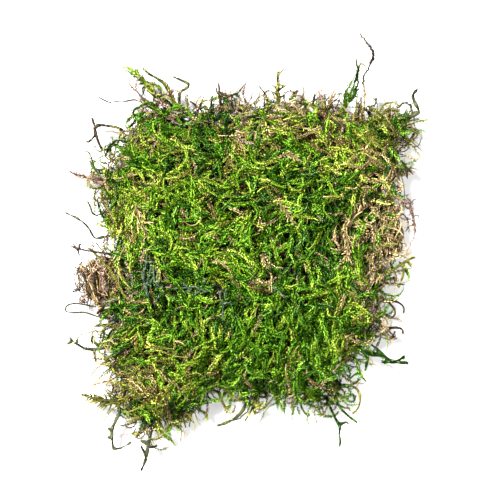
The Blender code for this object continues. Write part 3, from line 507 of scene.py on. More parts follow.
def cloud_of(corners, faces, shares, tones):
    """Many copies of a small shape, each with its own tone on the map."""
    count, size = corners.shape[:2]
    tone = np.clip(tones, 2 * MAP_HALF_WIDTH, 1 - 2 * MAP_HALF_WIDTH)
    side = np.array(SIDES[:size]) * MAP_HALF_WIDTH
    maps = np.stack([tone[:, None] + side[None], np.broadcast_to(shares, (count, size))], 2)
    return Cloud(corners.reshape(-1, 3), copied(faces, count, size), maps.reshape(-1, 2))


def leaves_on(sprigs, habit):
    """All the leaves of a set of shoots."""
    paths, tones = sprigs
    number = np.maximum(lengths_of(paths) * habit.density, FEWEST_LEAVES).astype(int)
    which = np.repeat(np.arange(len(paths)), number)
    order = np.arange(number.sum()) - np.repeat(np.cumsum(number) - number, number)
    share = (order + 0.5) / number[which]
    place, forward = along(paths, which, share)
    up = unit(UP - forward * (forward @ UP)[:, None])
    side = np.cross(forward, up)
    roll = chance.normal(0, SHOOT_ROLL, len(paths))
    turn = np.array(LEAF_RANKS)[order % len(LEAF_RANKS)] * habit.wrap + roll[which]
    turn = turn + chance.normal(0, RANK_JITTER, len(which))
    out = up * np.cos(turn)[:, None] + side * np.sin(turn)[:, None]
    grow, face = leaning(forward, out, habit.lean + chance.normal(0, LEAN_JITTER, len(which)))
    size = size_along(share) * chance.uniform(*LEAF_SIZES, len(which))
    foot = place + out * (habit.stem / 2)
    corners, faces, shares = leaf_shapes(foot, grow, face, size * habit.length,
                                         size * habit.width, False)
    # Each shoot's leaves take their own share of painted light, less on dim shoots
    shares = np.array(shares) * chance.uniform(*habit.glow, len(paths))[which, None]
    tone = tones[which] + chance.normal(0, TONE_JITTER, len(which))
    return cloud_of(corners, faces, shares, tone)


def stems_of(sprigs, thickness, tip_share=0.5, sides=3, shades=(0.1, 0.8)):
    """A thin tube along each path, closed at both ends, and shaded from its foot to its tip."""
    paths, tones = sprigs
    count, points = paths.shape[:2]
    forward = unit(np.gradient(paths, axis=1))
    up = unit(UP - forward * (forward @ UP)[..., None] + 1e-6)
    side = np.cross(forward, up)
    angle = np.arange(sides) * 2 * math.pi / sides
    radius = np.broadcast_to(np.asarray(thickness, float) / 2, (count,))
    taper = 1 - (1 - tip_share) * np.linspace(0, 1, points)
    ring = up[:, :, None] * np.cos(angle)[:, None] + side[:, :, None] * np.sin(angle)[:, None]
    places = paths[:, :, None] + ring * (radius[:, None] * taper[None])[:, :, None, None]
    faces = []
    for step in range(points - 1):
        for corner in range(sides):
            a = step * sides + corner
            b = step * sides + (corner + 1) % sides
            faces += [(a, b, b + sides), (a, b + sides, a + sides)]
    faces += [(0, i + 1, i) for i in range(1, sides - 1)]
    last = (points - 1) * sides
    faces += [(last, last + i, last + i + 1) for i in range(1, sides - 1)]
    size = points * sides
    tone = np.clip(tones, 0.01, 0.99)[:, None] + np.zeros(size)
    tone = tone + np.tile(np.linspace(-MAP_HALF_WIDTH, MAP_HALF_WIDTH, sides), points)
    height = np.repeat(np.linspace(*shades, points), sides)[None]
    height = height * chance.uniform(STEM_DULLEST, 1.0, count)[:, None]
    maps = np.stack([tone, height], 2).reshape(-1, 2)
    return Cloud(places.reshape(-1, 3), copied(faces, count, size), maps)


def joined(clouds):
    """Several clouds as one."""
    starts = np.cumsum([0] + [len(cloud.places) for cloud in clouds[:-1]])
    return Cloud(np.concatenate([cloud.places for cloud in clouds]),
                 np.concatenate([cloud.faces + start for cloud, start in zip(clouds, starts)]),
                 np.concatenate([cloud.maps for cloud in clouds]))


def mesh_piece(name, cloud, finish):
    """A cloud of leaves and stems as one mesh object with its map."""
    mesh = bpy.data.meshes.new(name)
    count = len(cloud.faces)
    cloud.places[:, 2] = np.maximum(cloud.places[:, 2], GROUND)
    mesh.vertices.add(len(cloud.places))
    mesh.vertices.foreach_set("co", (cloud.places * MM).astype(np.float32).ravel())
    mesh.loops.add(count * 3)
    mesh.loops.foreach_set("vertex_index", cloud.faces.astype(np.int32).ravel())
    mesh.polygons.add(count)
    mesh.polygons.foreach_set("loop_start", np.arange(0, count * 3, 3, dtype=np.int32))
    layer = mesh.uv_layers.new(name="OFBake")
    layer.data.foreach_set("uv", cloud.maps[cloud.faces.ravel()].astype(np.float32).ravel())
    mesh.update(calc_edges=True)
    mesh.validate()
    mesh.materials.append(finish)
    piece = bpy.data.objects.new(name, mesh)
    bpy.context.scene.collection.objects.link(piece)
    return piece


# ---------------------------------------------------------------- shoots of the mat

SUNK = 0.9                   # how far the shoots lie below the solid's top
ROOT_DEPTH = 1.5             # and how much deeper a shoot's foot is
WAVER = 0.16                 # how much a shoot turns at random at each step
HEAVE = 0.22                 # and how much it climbs or falls
RISE_SHARE = 0.25            # the share of its length on which it comes up out of the bed
DIP_START = 0.6              # the share at which its tip begins to dip or to lift


def lying_paths(x, y, heading, turn, length, lift, dip):
    """Paths over the mat that come up out of the bed, lie along it and dip or lift their tips."""
    share = np.linspace(0, 1, PATH_POINTS)
    step = length / (PATH_POINTS - 1)
    wave = chance.normal(0, WAVER, (len(x), PATH_POINTS)).cumsum(axis=1)
    angle = heading[:, None] + turn[:, None] * (share[None] - 0.5) + wave
    path_x = x[:, None] + np.cumsum(step[:, None] * np.cos(angle), axis=1) - step[:, None]
    path_y = y[:, None] + np.cumsum(step[:, None] * np.sin(angle), axis=1) - step[:, None]
    rise = eased(np.clip(share / RISE_SHARE, 0, 1))
    roll = chance.normal(0, HEAVE, (len(x), PATH_POINTS)).cumsum(axis=1)
    height = -ROOT_DEPTH * (1 - rise)[None] + lift[:, None] * rise[None] + roll * rise[None]
    height = height + dip[:, None] * np.clip(share - DIP_START, 0, 1)[None] / (1 - DIP_START)
    flat_x = path_x.ravel()
    flat_y = path_y.ravel()
    path_z = surface(flat_x, flat_y).reshape(path_x.shape) - SUNK + height
    path_z = np.minimum(path_z, field_at(COVER, flat_x, flat_y).reshape(path_x.shape))
    return np.stack([path_x, path_y, np.maximum(path_z, FLOOR_CLEARANCE)], 2)


MAT_REACH = 70.0             # no shoot starts further out than this
ROW_SHARE = 0.87             # the distance between rows of starting points, in spacings
SCATTER = 0.45               # how far a starting point strays, in spacings
RAGGED = 0.05                # how far the rim's bays go in, as a share of its distance
BAY_WIDTH = 7.0              # and how wide they are
RIM_ZONE = 0.80              # past this share of the rim's distance shoots point inwards

# Where the mat bushes out past its rim, or draws in: the direction, its spread, and how far
Tuft = namedtuple("Tuft", "degrees spread out")
TUFTS = (Tuft(231, 9, 11.0), Tuft(245, 5, 5.0), Tuft(212, 6, 2.0), Tuft(120, 6, 4.0),
         Tuft(38, 3, 2.0), Tuft(60, 5, 0.5), Tuft(303, 8, 4.5), Tuft(30, 5, 1.0),
         Tuft(0, 8, 3.0), Tuft(150, 5, 1.5), Tuft(95, 4, 1.0))
BAYS = (Tuft(50, 3, 5.0), Tuft(80, 5, 2.5), Tuft(110, 4, 2.5), Tuft(177, 7, 2.5),
        Tuft(257, 4, 4.0), Tuft(320, 5, 3.0), Tuft(34, 3, 5.0))
BUSH_SHARE = 0.6             # how far the mat's own shoots follow its bushes
ROOT_SHARE = 0.35            # and how far the roots of its fringe do


def furthest(tufts, degrees):
    """The reach of the tuft that goes furthest in each direction."""
    tufts = np.array(tufts)
    apart = (degrees[:, None] - tufts[None, :, 0] + 180) % 360 - 180
    return np.max(tufts[:, 2] * np.exp(-(apart / tufts[:, 1]) ** 2 / 2), axis=1)


def bush_at(degrees):
    """How far the mat bushes out past its rim in each direction, or draws in where under 0."""
    return furthest(TUFTS, degrees) - furthest(BAYS, degrees)


def scattered(spacing, reach):
    """Points spread evenly over the mat, out to a ragged share of its rim."""
    half = int(MAT_REACH / spacing)
    columns, rows = np.meshgrid(np.arange(-half, half + 1), np.arange(-half, half + 1))
    x = (columns + 0.5 * (rows % 2)).ravel() * spacing
    y = rows.ravel() * spacing * ROW_SHARE
    x = x + chance.uniform(-SCATTER, SCATTER, len(x)) * spacing
    y = y + chance.uniform(-SCATTER, SCATTER, len(y)) * spacing
    bays = RAGGED * (0.5 + 0.5 * soft_noise(x, y, BAY_WIDTH, seed=9))
    bushes = BUSH_SHARE * bush_at(np.degrees(np.arctan2(y, x)) % 360) / rim_distance(x, y)
    kept = share_of_reach(x, y) < reach - bays + bushes
    return x[kept], y[kept]


# Where the shoots take a tone of their own: the place, the radius, the tone, and the share of the
# shoots in the middle that take it. A later patch lies over an earlier one
Patch = namedtuple("Patch", "x y radius tone weight")
PATCHES = tuple(Patch(*row) for row in (
    (-46, -8, 9, PINK, 0.6), (50, 7, 9, TAN, 0.8), (-2, 46, 8, PINK, 0.6),
    (22, 45, 8, TAN, 0.5), (34, 43, 7, BROWN, 0.6), (-42, 20, 10, OLIVE, 0.6),
    (-34, -44, 12, OLIVE, 0.6), (-12, 36, 9, DEEP, 0.6), (30, 8, 8, DEEP, 0.6),
    (43, 14, 8, TAN, 0.5), (-30, 8, 7, TAN, 0.25), (-28, -8, 10, DEEP, 0.55),
    (50, 38, 9, OLIVE, 0.45), (22, 25, 12, DEEP, 0.4), (-26, -30, 9, TAN, 0.2),
    (-24, 48, 6, PINK, 0.6), (44, -8, 7, TAN, 0.5), (-32, 34, 9, OLIVE, 0.45),
    (50, 22, 7, TAN, 0.6), (44, -22, 9, TAN, 0.5), (-40, -12, 9, PINK, 0.7),
    (32, -28, 12, BRIGHT, 0.4), (-42, 2, 8, TAN, 0.7), (-38, -32, 9, BROWN, 0.4),
    (-36, -40, 8, TAN, 0.4), (-30, -24, 8, DEEP, 0.4), (10, 44, 7, TAN, 0.5),
    (5, 6, 7, TAN, 0.3), (14, -4, 7, TAN, 0.25), (-22, 14, 8, BROWN, 0.3),
    (-14, -28, 9, LIME, 0.3), (20, -28, 10, GREEN, 0.4), (-6, 22, 9, OLIVE, 0.3),
    (-46, -18, 9, TAN, 0.5), (-42, 28, 9, TAN, 0.4), (-46, 14, 8, OLIVE, 0.5),
    (44, 2, 9, TAN, 0.6), (44, -14, 8, OLIVE, 0.5), (47, 30, 8, TAN, 0.5),
    (-30, -36, 9, OLIVE, 0.5), (-26, -46, 8, OLIVE, 0.5), (0, 40, 8, OLIVE, 0.4),
    (26, 40, 8, OLIVE, 0.4), (44, -32, 7, TAN, 0.5), (-30, 30, 14, LIME, 0.3),
    (-38, 12, 11, LIME, 0.3), (34, 32, 12, LIME, 0.3), (40, 24, 9, YELLOW, 0.12),
    (38, -20, 10, LIME, 0.3), (20, 45, 5, BROWN, 0.6), (-40, -26, 8, LIME, 0.25),
    (-37, -4, 6, BROWN, 0.6),
))
GREEN_WIDTH = 16.0           # the width of the lighter and darker stretches of the greens
GREEN_RANGE = 0.06           # and how far they go along the row of tones
DARKEST = 0.02               # the tone of the darkest of them


def tones_at(x, y, mix):
    """A tone for each shoot: from the mix of the layer, or from the patch that it lies in."""
    kinds, weights = zip(*mix)
    weights = np.array(weights) / sum(weights)
    green = soft_noise(x, y, GREEN_WIDTH, seed=3)
    tones = chance.choice(kinds, len(x), p=weights)
    living = tones < LAST_LIVING
    tones = np.where(living, np.clip(tones + GREEN_RANGE * green, DARKEST, YELLOW), tones)
    for patch in PATCHES:
        near = np.exp(-((x - patch.x) ** 2 + (y - patch.y) ** 2) / patch.radius ** 2)
        taken = chance.uniform(0, 1, len(x)) < near * patch.weight
        tones = np.where(taken, patch.tone, tones)
    return tones + chance.normal(0, TONE_JITTER, len(x))


def grown(sprigs):
    """Shoots with their leaves: full ones where they live, and thin ones where they are dead."""
    clouds = []
    living = sprigs.tones < LAST_LIVING
    for chosen, habit in ((living, ROPE), (~living, CURL)):
        part = Sprigs(sprigs.paths[chosen], sprigs.tones[chosen])
        if len(part.tones):
            clouds += [leaves_on(part, habit), stems_of(part, habit.stem)]
    return joined(clouds)


# A layer of shoots: the spacing of their starting points, how far out they go as a share of the
# rim's distance, their lengths, how high they lie, how much they curl, and the mix of their tones
Layer = namedtuple("Layer", "spacing reach lengths lifts curl mix")
FLOW_TURN = 2.6              # how much the weave's direction changes over the mat
FLOW_WIDTH = 18.0            # and over what width
FLOW_JITTER = 0.55
OUTWARD = 0.1                # the cosine past which a shoot is held to point outwards
DIPS = (-1.4, 0.9)           # how far a shoot's tip dips or lifts


def layer_sprigs(layer, inner=0.0):
    """A layer of shoots woven over the mat, from a share of the rim's distance outwards."""
    x, y = scattered(layer.spacing, layer.reach)
    kept = share_of_reach(x, y) > inner
    x = x[kept]
    y = y[kept]
    count = len(x)
    flow = FLOW_TURN * soft_noise(x, y, FLOW_WIDTH, seed=5)
    heading = flow + chance.normal(0, FLOW_JITTER, count)
    heading = heading + math.pi * chance.integers(0, 2, count)
    outward = np.cos(heading - np.arctan2(y, x)) > OUTWARD
    heading[outward & (share_of_reach(x, y) > RIM_ZONE)] += math.pi
    turn = chance.normal(0, layer.curl, count)
    length = chance.uniform(*layer.lengths, count)
    lift = chance.uniform(*layer.lifts, count)
    dip = chance.uniform(*DIPS, count)
    paths = lying_paths(x, y, heading, turn, length, lift, dip)
    return Sprigs(paths, tones_at(x, y, layer.mix))


# The under layer's mix runs dark: partly older, browner shoots, and partly painted shade under the
# layers above
UNDER_MIX = ((DEEP, 5), (GREEN, 2), (OLIVE, 1), (BROWN, 3), (DARK, 4))
MIDDLE_MIX = ((DEEP, 4), (GREEN, 5), (BRIGHT, 3), (LIME, 1), (OLIVE, 1), (PINK, 0.5))
TOP_MIX = ((DEEP, 3), (GREEN, 6), (BRIGHT, 6), (LIME, 2.2), (YELLOW, 0.3), (TAN, 0.3),
           (BROWN, 0.4))
FALLEN_MIX = ((TAN, 2), (BROWN, 5), (MOSSY, 1))
FRINGE_MIX = ((OLIVE, 5), (BROWN, 1), (PINK, 1), (TAN, 3), (YELLOW, 1), (BRIGHT, 4), (GREEN, 3))

UNDER = Layer(3.4, 1.00, (8, 12), (-0.8, 0.2), 0.8, UNDER_MIX)
LAYERS = {
    "middle_shoots": Layer(3.2, 1.03, (9, 14), (0.0, 1.3), 1.0, MIDDLE_MIX),
    "upper_shoots": Layer(3.2, 1.02, (8, 13), (0.9, 2.4), 1.2, TOP_MIX),
    "crest_shoots": Layer(4.2, 1.00, (6, 11), (1.8, 3.2), 1.8, TOP_MIX),
}
FALLEN = Layer(13.0, 0.95, (4, 9), (1.4, 2.8), 3.0, FALLEN_MIX)
FALLEN_THICKNESS = (0.22, 0.36)
FRINGE = Layer(4.2, 1.10, (7, 12), (0.6, 2.6), 3.0, FRINGE_MIX)
FRINGE_START = 0.80          # the share of the rim's distance at which the fringe starts


def mat_layers(finish):
    """The mat's shoots, from the bed up."""
    under = layer_sprigs(UNDER)
    under = joined([leaves_on(under, UNDER_ROPE), stems_of(under, UNDER_ROPE.stem)])
    pieces = [mesh_piece("under_shoots", under, finish)]
    for name, layer in LAYERS.items():
        pieces.append(mesh_piece(name, grown(layer_sprigs(layer)), finish))
    fallen = layer_sprigs(FALLEN)
    fringe = layer_sprigs(FRINGE, FRINGE_START)
    thickness = chance.uniform(*FALLEN_THICKNESS, len(fallen.tones))
    fallen = stems_of(fallen, thickness, tip_share=0.6, sides=4)
    pieces.append(mesh_piece("fallen_stems", fallen, finish))
    pieces.append(mesh_piece("fringe_curls", grown(fringe), finish))
    return pieces


# ---------------------------------------------------------------- curls out of the mat's side

TUFT_SHARE = 0.35            # the share of the fringe that grows in the mat's bushes
UNDERCUT = 4.0               # how much further in the lowest of them start
SIDE_WAVER = 0.15            # how much such a shoot turns at random at each step
SIDE_HEAVE = 0.2             # and how much it climbs or falls
SPLAY = 0.8                  # how far its heading strays from straight out
CLIMBS = (-2.5, 3.5)         # how far it falls or climbs on its way
CLIMB_TURN = 2.4             # and the angle of the sine that it follows
BACKSWING = 0.3              # how far it starts out against its curl, as a share of the curl
TIGHTENING = 1.5             # over 1 it curls more towards its tip


def fringe_angles(count):
    """Directions for the fringe: all round, and more of them where it bushes out."""
    angle = chance.uniform(0, 360, count)
    tufts = np.array(TUFTS)[chance.integers(0, len(TUFTS), count)]
    bushed = chance.uniform(0, 1, count) < TUFT_SHARE
    angle = np.where(bushed, chance.normal(tufts[:, 0], tufts[:, 1]), angle) % 360
    return angle, bush_at(angle) * chance.uniform(0, 1, count)


def side_sprigs(count, heights, lengths, inset, mix, bend):
    """Shoots that start low in the mat's side and curl out past its rim.

    heights and lengths are ranges, inset is how far inside the rim they start, and bend is how far
    they curl.
    """
    degrees, out = fringe_angles(count)
    angle = np.radians(degrees)
    bushed = out * ROOT_SHARE
    reach = rim_at(degrees) + bushed - chance.uniform(*inset, count)
    low = chance.uniform(*heights, count)
    tucked = UNDERCUT * np.clip(1 - low / RIM_HEIGHT, 0, 1)
    x = (reach - tucked) * np.cos(angle)
    y = (reach - tucked) * np.sin(angle)
    length = chance.uniform(*lengths, count) + out - bushed + tucked / 2
    share = np.linspace(0, 1, PATH_POINTS)
    step = length / (PATH_POINTS - 1)
    wave = chance.normal(0, SIDE_WAVER, (count, PATH_POINTS)).cumsum(axis=1)
    turn = chance.normal(0, bend, count)
    heading = angle + chance.normal(0, SPLAY, count) - turn * BACKSWING
    heading = heading[:, None] + turn[:, None] * share[None] ** TIGHTENING + wave
    path_x = x[:, None] + np.cumsum(step[:, None] * np.cos(heading), axis=1)
    path_y = y[:, None] + np.cumsum(step[:, None] * np.sin(heading), axis=1)
    climb = chance.uniform(*CLIMBS, count)[:, None] * np.sin(share[None] * CLIMB_TURN)
    roll = chance.normal(0, SIDE_HEAVE, (count, PATH_POINTS)).cumsum(axis=1)
    path_z = np.maximum(low[:, None] + climb + roll, FLOOR_CLEARANCE)
    return Sprigs(np.stack([path_x, path_y, path_z], 2), tones_at(x, y, mix))


SIDE_MIX = ((OLIVE, 3), (BRIGHT, 4), (LIME, 2), (GREEN, 4), (TAN, 1), (PINK, 0.5))
BARE_MIX = ((MOSSY, 3), (DARK, 2), (BROWN, 3), (PINK, 1), (OLIVE, 2), (TAN, 1))
BARE_THICKNESS = (0.3, 0.55)


def side_family(finish):
    """Leafy shoots, curls and bare stems all round the mat's side."""
    leafy = side_sprigs(220, heights=(1.5, 8.5), lengths=(5, 9), inset=(2.0, 6.0),
                        mix=SIDE_MIX, bend=2.2)
    curls = side_sprigs(330, heights=(1.5, 9.5), lengths=(7, 13), inset=(1.5, 6.0),
                        mix=FRINGE_MIX, bend=2.6)
    bare = side_sprigs(150, heights=(1.0, 9.0), lengths=(5, 12), inset=(1.0, 5.0),
                       mix=BARE_MIX, bend=1.8)
    thickness = chance.uniform(*BARE_THICKNESS, len(bare.tones))
    clouds = [grown(leafy), leaves_on(curls, CURL), stems_of(curls, CURL.stem),
              stems_of(bare, thickness, tip_share=0.4, sides=4)]
    return mesh_piece("side_shoots", joined(clouds), finish)


# ---------------------------------------------------------------- tangles of dead stems

# A tangle of slim shoots and bare stems: the solid that it creeps over, how many strands start on
# it, the mix of their tones, how high they rise, how long they are, how deep their ends are sunk,
# how leaves grow on them, the share of them that have leaves, the share of them that lie low and
# take the dark tone as painted shade, and the way that they run
Tangle = namedtuple("Tangle", "solid count mix lifts lengths depths habit leafy dark grain")
DEAD_MIX = ((BROWN, 3), (PINK, 5), (TAN, 2), (DARK, 6), (OLIVE, 1))
OPEN_MIX = ((BROWN, 2), (PINK, 2), (TAN, 7), (OLIVE, 2), (YELLOW, 1))
RIM_MIX = ((BROWN, 2), (OLIVE, 5), (GREEN, 4), (PINK, 1), (TAN, 3), (BRIGHT, 3))
SIDE_TANGLE = Tangle("moss_pad", 1700, RIM_MIX, (0.2, 1.6), (6, 11), (0.6, 1.8), CURL, 0.5, 0.25,
                     (0, 0, 0))
LEFT_THATCH = Tangle("dead_thatch_left", 190, DEAD_MIX, (-0.4, 2.6), (8, 15), (0.6, 3.4), THATCH,
                     0.25, 0.40, (0.3, 1.4, 0.2))
RIGHT_THATCH = Tangle("dead_thatch_right", 120, OPEN_MIX, (0.4, 2.4), (7, 14), (0.6, 2.4), CURL,
                      0.3, 0.10, (0.0, 1.8, 0.0))
TANGLE_SHADES = (0.42, 0.80)
TANGLE_THICKNESS = 0.45      # of its bare stems
WANDER = 0.24                # how much a strand of a tangle turns at each step

SIDE_START = 0.88            # the share of the rim's distance at which the mat's side starts
SIDE_HEIGHTS = (0.8, 8.0)    # clear of the cut, and under the top
THATCH_LOOPS = 51.5          # past this the right thatch is only loops


def tangle_paths(tree, seeds, form):
    """Paths that creep over a solid along a grain, sunk at both ends, and each one's rise."""
    paths = np.zeros((len(seeds), PATH_POINTS, 3))
    rises = chance.uniform(0, 1, len(seeds))
    for number, seed in enumerate(seeds):
        place, normal = tree.find_nearest(Vector(seed))[:2]
        step = chance.uniform(*form.lengths) / (PATH_POINTS - 1)
        way = chance.choice((-1, 1))
        heading = Vector(form.grain) * way + Vector(chance.normal(0, 1, 3))
        depth = chance.uniform(*form.depths)
        risen = form.lifts[0] + (form.lifts[1] - form.lifts[0]) * rises[number]
        height = depth + risen - 0.5 * sum(form.depths)
        for index in range(PATH_POINTS):
            share = index / (PATH_POINTS - 1)
            arch = math.sin(math.pi * share)
            paths[number, index] = place + normal * (height * arch - depth)
            heading += Vector(chance.normal(0, WANDER, 3))
            heading -= normal * heading.dot(normal)
            heading.normalize()
            place, normal = tree.find_nearest(place + heading * step)[:2]
    paths[..., 2] = np.maximum(paths[..., 2], FLOOR_CLEARANCE)
    return paths, rises


def points_on(name, count, kept):
    """Points spread over a solid's surface by the areas of its faces, or those that are kept."""
    mesh = frame["nodes"][name].data
    corners = np.array([[mesh.vertices[i].co[:] for i in face.vertices[:3]]
                        for face in mesh.polygons]) / MM
    areas = np.array([face.area for face in mesh.polygons])
    which = chance.choice(len(areas), count, p=areas / areas.sum())
    first = np.sqrt(chance.uniform(0, 1, count))
    second = chance.uniform(0, 1, count)
    weights = np.stack([1 - first, first * (1 - second), first * second], 1)
    points = np.einsum("nk,nkc->nc", weights, corners[which])
    return points[kept(points)] if kept else points


def on_side(points):
    """Which points of the mat's solid lie on its side and clear of its cut."""
    past = share_of_reach(points[:, 0], points[:, 1]) > SIDE_START
    return past & (points[:, 2] > SIDE_HEIGHTS[0]) & (points[:, 2] < SIDE_HEIGHTS[1])


def in_lump(points):
    """Which points of the right thatch lie on its lump, and not on the loops out of it."""
    return points[:, 0] < THATCH_LOOPS


def tangle(name, finish, form, kept=None, strands=()):
    """A tangle over a solid, from the points of it that are kept, and strands that are listed."""
    tree = cad_tree(form.solid)
    clouds = clouds_of(strands)
    for habit, share in ((form.habit, form.leafy), (None, 1 - form.leafy)):
        seeds = points_on(form.solid, int(form.count * share), kept)
        paths, rises = tangle_paths(tree, seeds, form)
        tones = tones_at(seeds[:, 0], seeds[:, 1], form.mix)
        # Strands that lie low take the dark tone: painted shade under the others
        sprigs = Sprigs(paths, np.where(rises < form.dark, DARK, tones))
        thickness = habit.stem if habit else TANGLE_THICKNESS
        clouds.append(stems_of(sprigs, thickness, sides=4, shades=TANGLE_SHADES))
        if habit:
            clouds.append(leaves_on(sprigs, habit))
    return mesh_piece(name, joined(clouds), finish)


# ---------------------------------------------------------------- loose stems and fronds

# How the stems of each finish are dressed: tone, swelling of the smoothed tube, and leaves, if they
# have them: how many on a square millimetre, their size and lean, and, under 1, how flat they lie
Dress = namedtuple("Dress", "tone swell density length width lean flat",
                   defaults=(0.0, 0.0, 0.0, 0.0, 1.0))
DRESSES = {
    "living_moss": Dress(OLIVE, 0.20, 3.0, 1.30, 0.55, 0.50),
    "yellow_shoot": Dress(OLIVE, 0.15, 2.4, 1.10, 0.50, 0.45),
    "dark_stem": Dress(MOSSY, 0.14, 3.2, 1.10, 0.48, 0.60),
    "brown_stem": Dress(DARK, 0.12, 2.6, 1.05, 0.45, 0.60),
    "dead_thatch": Dress(PINK, 0.0, 2.4, 1.20, 0.50, 0.70),
    "tan_frond": Dress(TAN, -0.3, 2.2, 1.30, 0.55, 0.50, 0.6),
    "grey_hair": Dress(MOSSY, 0.13),
}
# Stems that stand out from the others of their finish
OWN_DRESSES = {
    "spruce_shoot_top": Dress(OLIVE, 0.05, 3.0, 1.50, 0.45, 0.60, 0.8),
    "curled_tendril_top_right": Dress(MOSSY, 0.30, 4.0, 1.00, 0.50, 0.40),
    "dark_branch_bottom_right": Dress(DEEP, 0.28, 4.0, 1.50, 0.60, 0.35),
    "dark_hook_top_left": Dress(DARK_OLIVE, 0.22, 4.4, 1.10, 0.50, 0.55),
    "dark_stem_top_left": Dress(DARK_OLIVE, 0.22, 5.0, 1.30, 0.55, 0.50),
    "square_loop_left": Dress(DARK, 0.22, 4.4, 1.20, 0.50, 0.55),
    "arc_stem_bottom": Dress(DARK_OLIVE, 0.25, 4.0, 1.00, 0.50, 0.45),
    "dark_fork_bottom_right": Dress(DEEP, 0.15, 3.4, 1.00, 0.45, 0.50),
    "green_stem_bottom_right": Dress(DEEP, 0.15, 3.6, 1.30, 0.55, 0.40),
    "bead_stem_bottom_right": Dress(DEEP, 0.10, 3.4, 1.20, 0.50, 0.45),
    "drooping_shoot_bottom_right": Dress(GREEN, 0.10, 3.6, 1.40, 0.55, 0.35),
    "shaggy_tail_left": Dress(PLUM, 0.05, 4.0, 2.00, 0.55, 1.00),
    "grey_fork_middle": Dress(MOSSY, -0.25),
    "hook_right": Dress(MOSSY, 0.04),
    "dark_stem_bottom_left": Dress(MOSSY, 0.24, 3.6, 1.10, 0.48, 0.60),
    "long_stem_left": Dress(MOSSY, 0.24, 3.2, 1.00, 0.45, 0.60),
    "longest_stem_bottom": Dress(MOSSY, 0.26, 3.0, 1.10, 0.48, 0.60),
}
ROOT_OF_ALL = np.array([2.0, 0.0, 6.0])      # a stem's foot is its point nearest to this one
MERGE_DISTANCE = 0.01        # a solid's corners closer than this are one
AXIS_REACH = 2.5             # how far round a point a stem's direction is read from its points
AXIS_FEWEST = 6              # with fewer points than this in reach, it is read from the nearest
AXIS_NEAREST = 12
SKIN_SHADE = 0.30            # where on a leaf's length a stem's skin takes its shade
SKIN_RANGE = 0.28            # and how far that goes up and down
SKIN_WIDTH = 0.9             # the width of the skin's knobs
SKIN_TONES = 0.005           # how far the skin's tone goes up and down, in bands
SKIN_BANDS = 5               # and how close the bands are, in radians to a millimetre
LEAF_ROOT = 0.15             # how deep a leaf's foot lies in the skin
DRESS_LEAN_JITTER = 0.15
DRESS_LEAF_SIZES = (0.7, 1.15)
DRESS_TONE_JITTER = 0.02


def finish_of(name):
    """The material slot that a node's sub-part takes its finish from."""
    for part in frame["record"]["subparts"]:
        if part["node"] == name:
            return part["material_slot"]
    raise KeyError(name)


def edit_all(action, **settings):
    """Do something to the whole of the active mesh."""
    bpy.ops.object.mode_set(mode="EDIT")
    bpy.ops.mesh.select_all(action="SELECT")
    action(**settings)
    bpy.ops.object.mode_set(mode="OBJECT")


def rounded_stem(name):
    """A node's tube, merged and smoothed, as arrays."""
    bpy.ops.object.select_all(action="DESELECT")
    stem = bpy.data.objects.new(name + "_stem", frame["nodes"][name].data.copy())
    bpy.context.scene.collection.objects.link(stem)
    bpy.context.view_layer.objects.active = stem
    stem.select_set(True)
    edit_all(bpy.ops.mesh.remove_doubles, threshold=MERGE_DISTANCE * MM)
    round_off = stem.modifiers.new("round", "SUBSURF")
    round_off.levels = 1
    round_off.render_levels = 1
    bpy.ops.object.modifier_apply(modifier=round_off.name)
    edit_all(bpy.ops.mesh.quads_convert_to_tris)
    mesh = stem.data
    places = np.array([vertex.co[:] for vertex in mesh.vertices]) / MM
    normals = np.array([vertex.normal[:] for vertex in mesh.vertices])
    faces = np.array([face.vertices[:] for face in mesh.polygons])
    bpy.data.objects.remove(stem)
    return places, normals, faces


def axis_near(points, places):
    """The direction that a stem runs in near each point, away from its foot."""
    axes = np.zeros_like(points)
    for number, point in enumerate(points):
        apart = np.linalg.norm(places - point, axis=1)
        near = places[apart < AXIS_REACH]
        if len(near) < AXIS_FEWEST:
            near = places[np.argsort(apart)[:AXIS_NEAREST]]
        spread = near - near.mean(axis=0)
        axes[number] = np.linalg.svd(spread, full_matrices=False)[2][0]
    foot = places[np.argmin(np.linalg.norm(places - ROOT_OF_ALL, axis=1))]
    away = points - foot
    flip = np.sum(axes * away, axis=1) < 0
    axes[flip] *= -1
    return axes


def dressed_stem(name, slot):
    """A loose stem with its leaves."""
    dress = OWN_DRESSES.get(name, DRESSES[slot])
    places, normals, faces = rounded_stem(name)
    tone = chance.normal(dress.tone, TONE_JITTER)
    knobs = soft_noise(places[:, 0] + places[:, 2], places[:, 1], SKIN_WIDTH, seed=17)
    tones = tone + SKIN_TONES * np.sin(places[:, 1] * SKIN_BANDS)
    maps = np.stack([tones, SKIN_SHADE + SKIN_RANGE * knobs], 1)
    skin = places + normals * (dress.swell + abs(dress.swell) * knobs)[:, None]
    corners = places[faces]
    cross = np.cross(corners[:, 1] - corners[:, 0], corners[:, 2] - corners[:, 0])
    areas = np.linalg.norm(cross, axis=1) / 2
    count = int(areas.sum() * dress.density)
    clouds = [Cloud(skin, faces, maps)]
    if count:
        which = chance.choice(len(areas), count, p=areas / areas.sum())
        weights = chance.dirichlet((1, 1, 1), count)
        foot = np.einsum("nk,nkc->nc", weights, corners[which])
        forward = axis_near(foot, places)
        out = unit(cross[which]) * np.array([1, 1, dress.flat])
        out = unit(out - forward * np.sum(out * forward, axis=1)[:, None])
        foot = foot - out * LEAF_ROOT
        lean = dress.lean + chance.normal(0, DRESS_LEAN_JITTER, count)
        grow, face = leaning(forward, out, lean)
        size = chance.uniform(*DRESS_LEAF_SIZES, count)
        shapes, shape_faces, shares = leaf_shapes(foot, grow, face, size * dress.length,
                                                  size * dress.width, True)
        leaf_tones = tone + chance.normal(0, DRESS_TONE_JITTER, count)
        clouds.append(cloud_of(shapes, shape_faces, shares, leaf_tones))
    return joined(clouds)


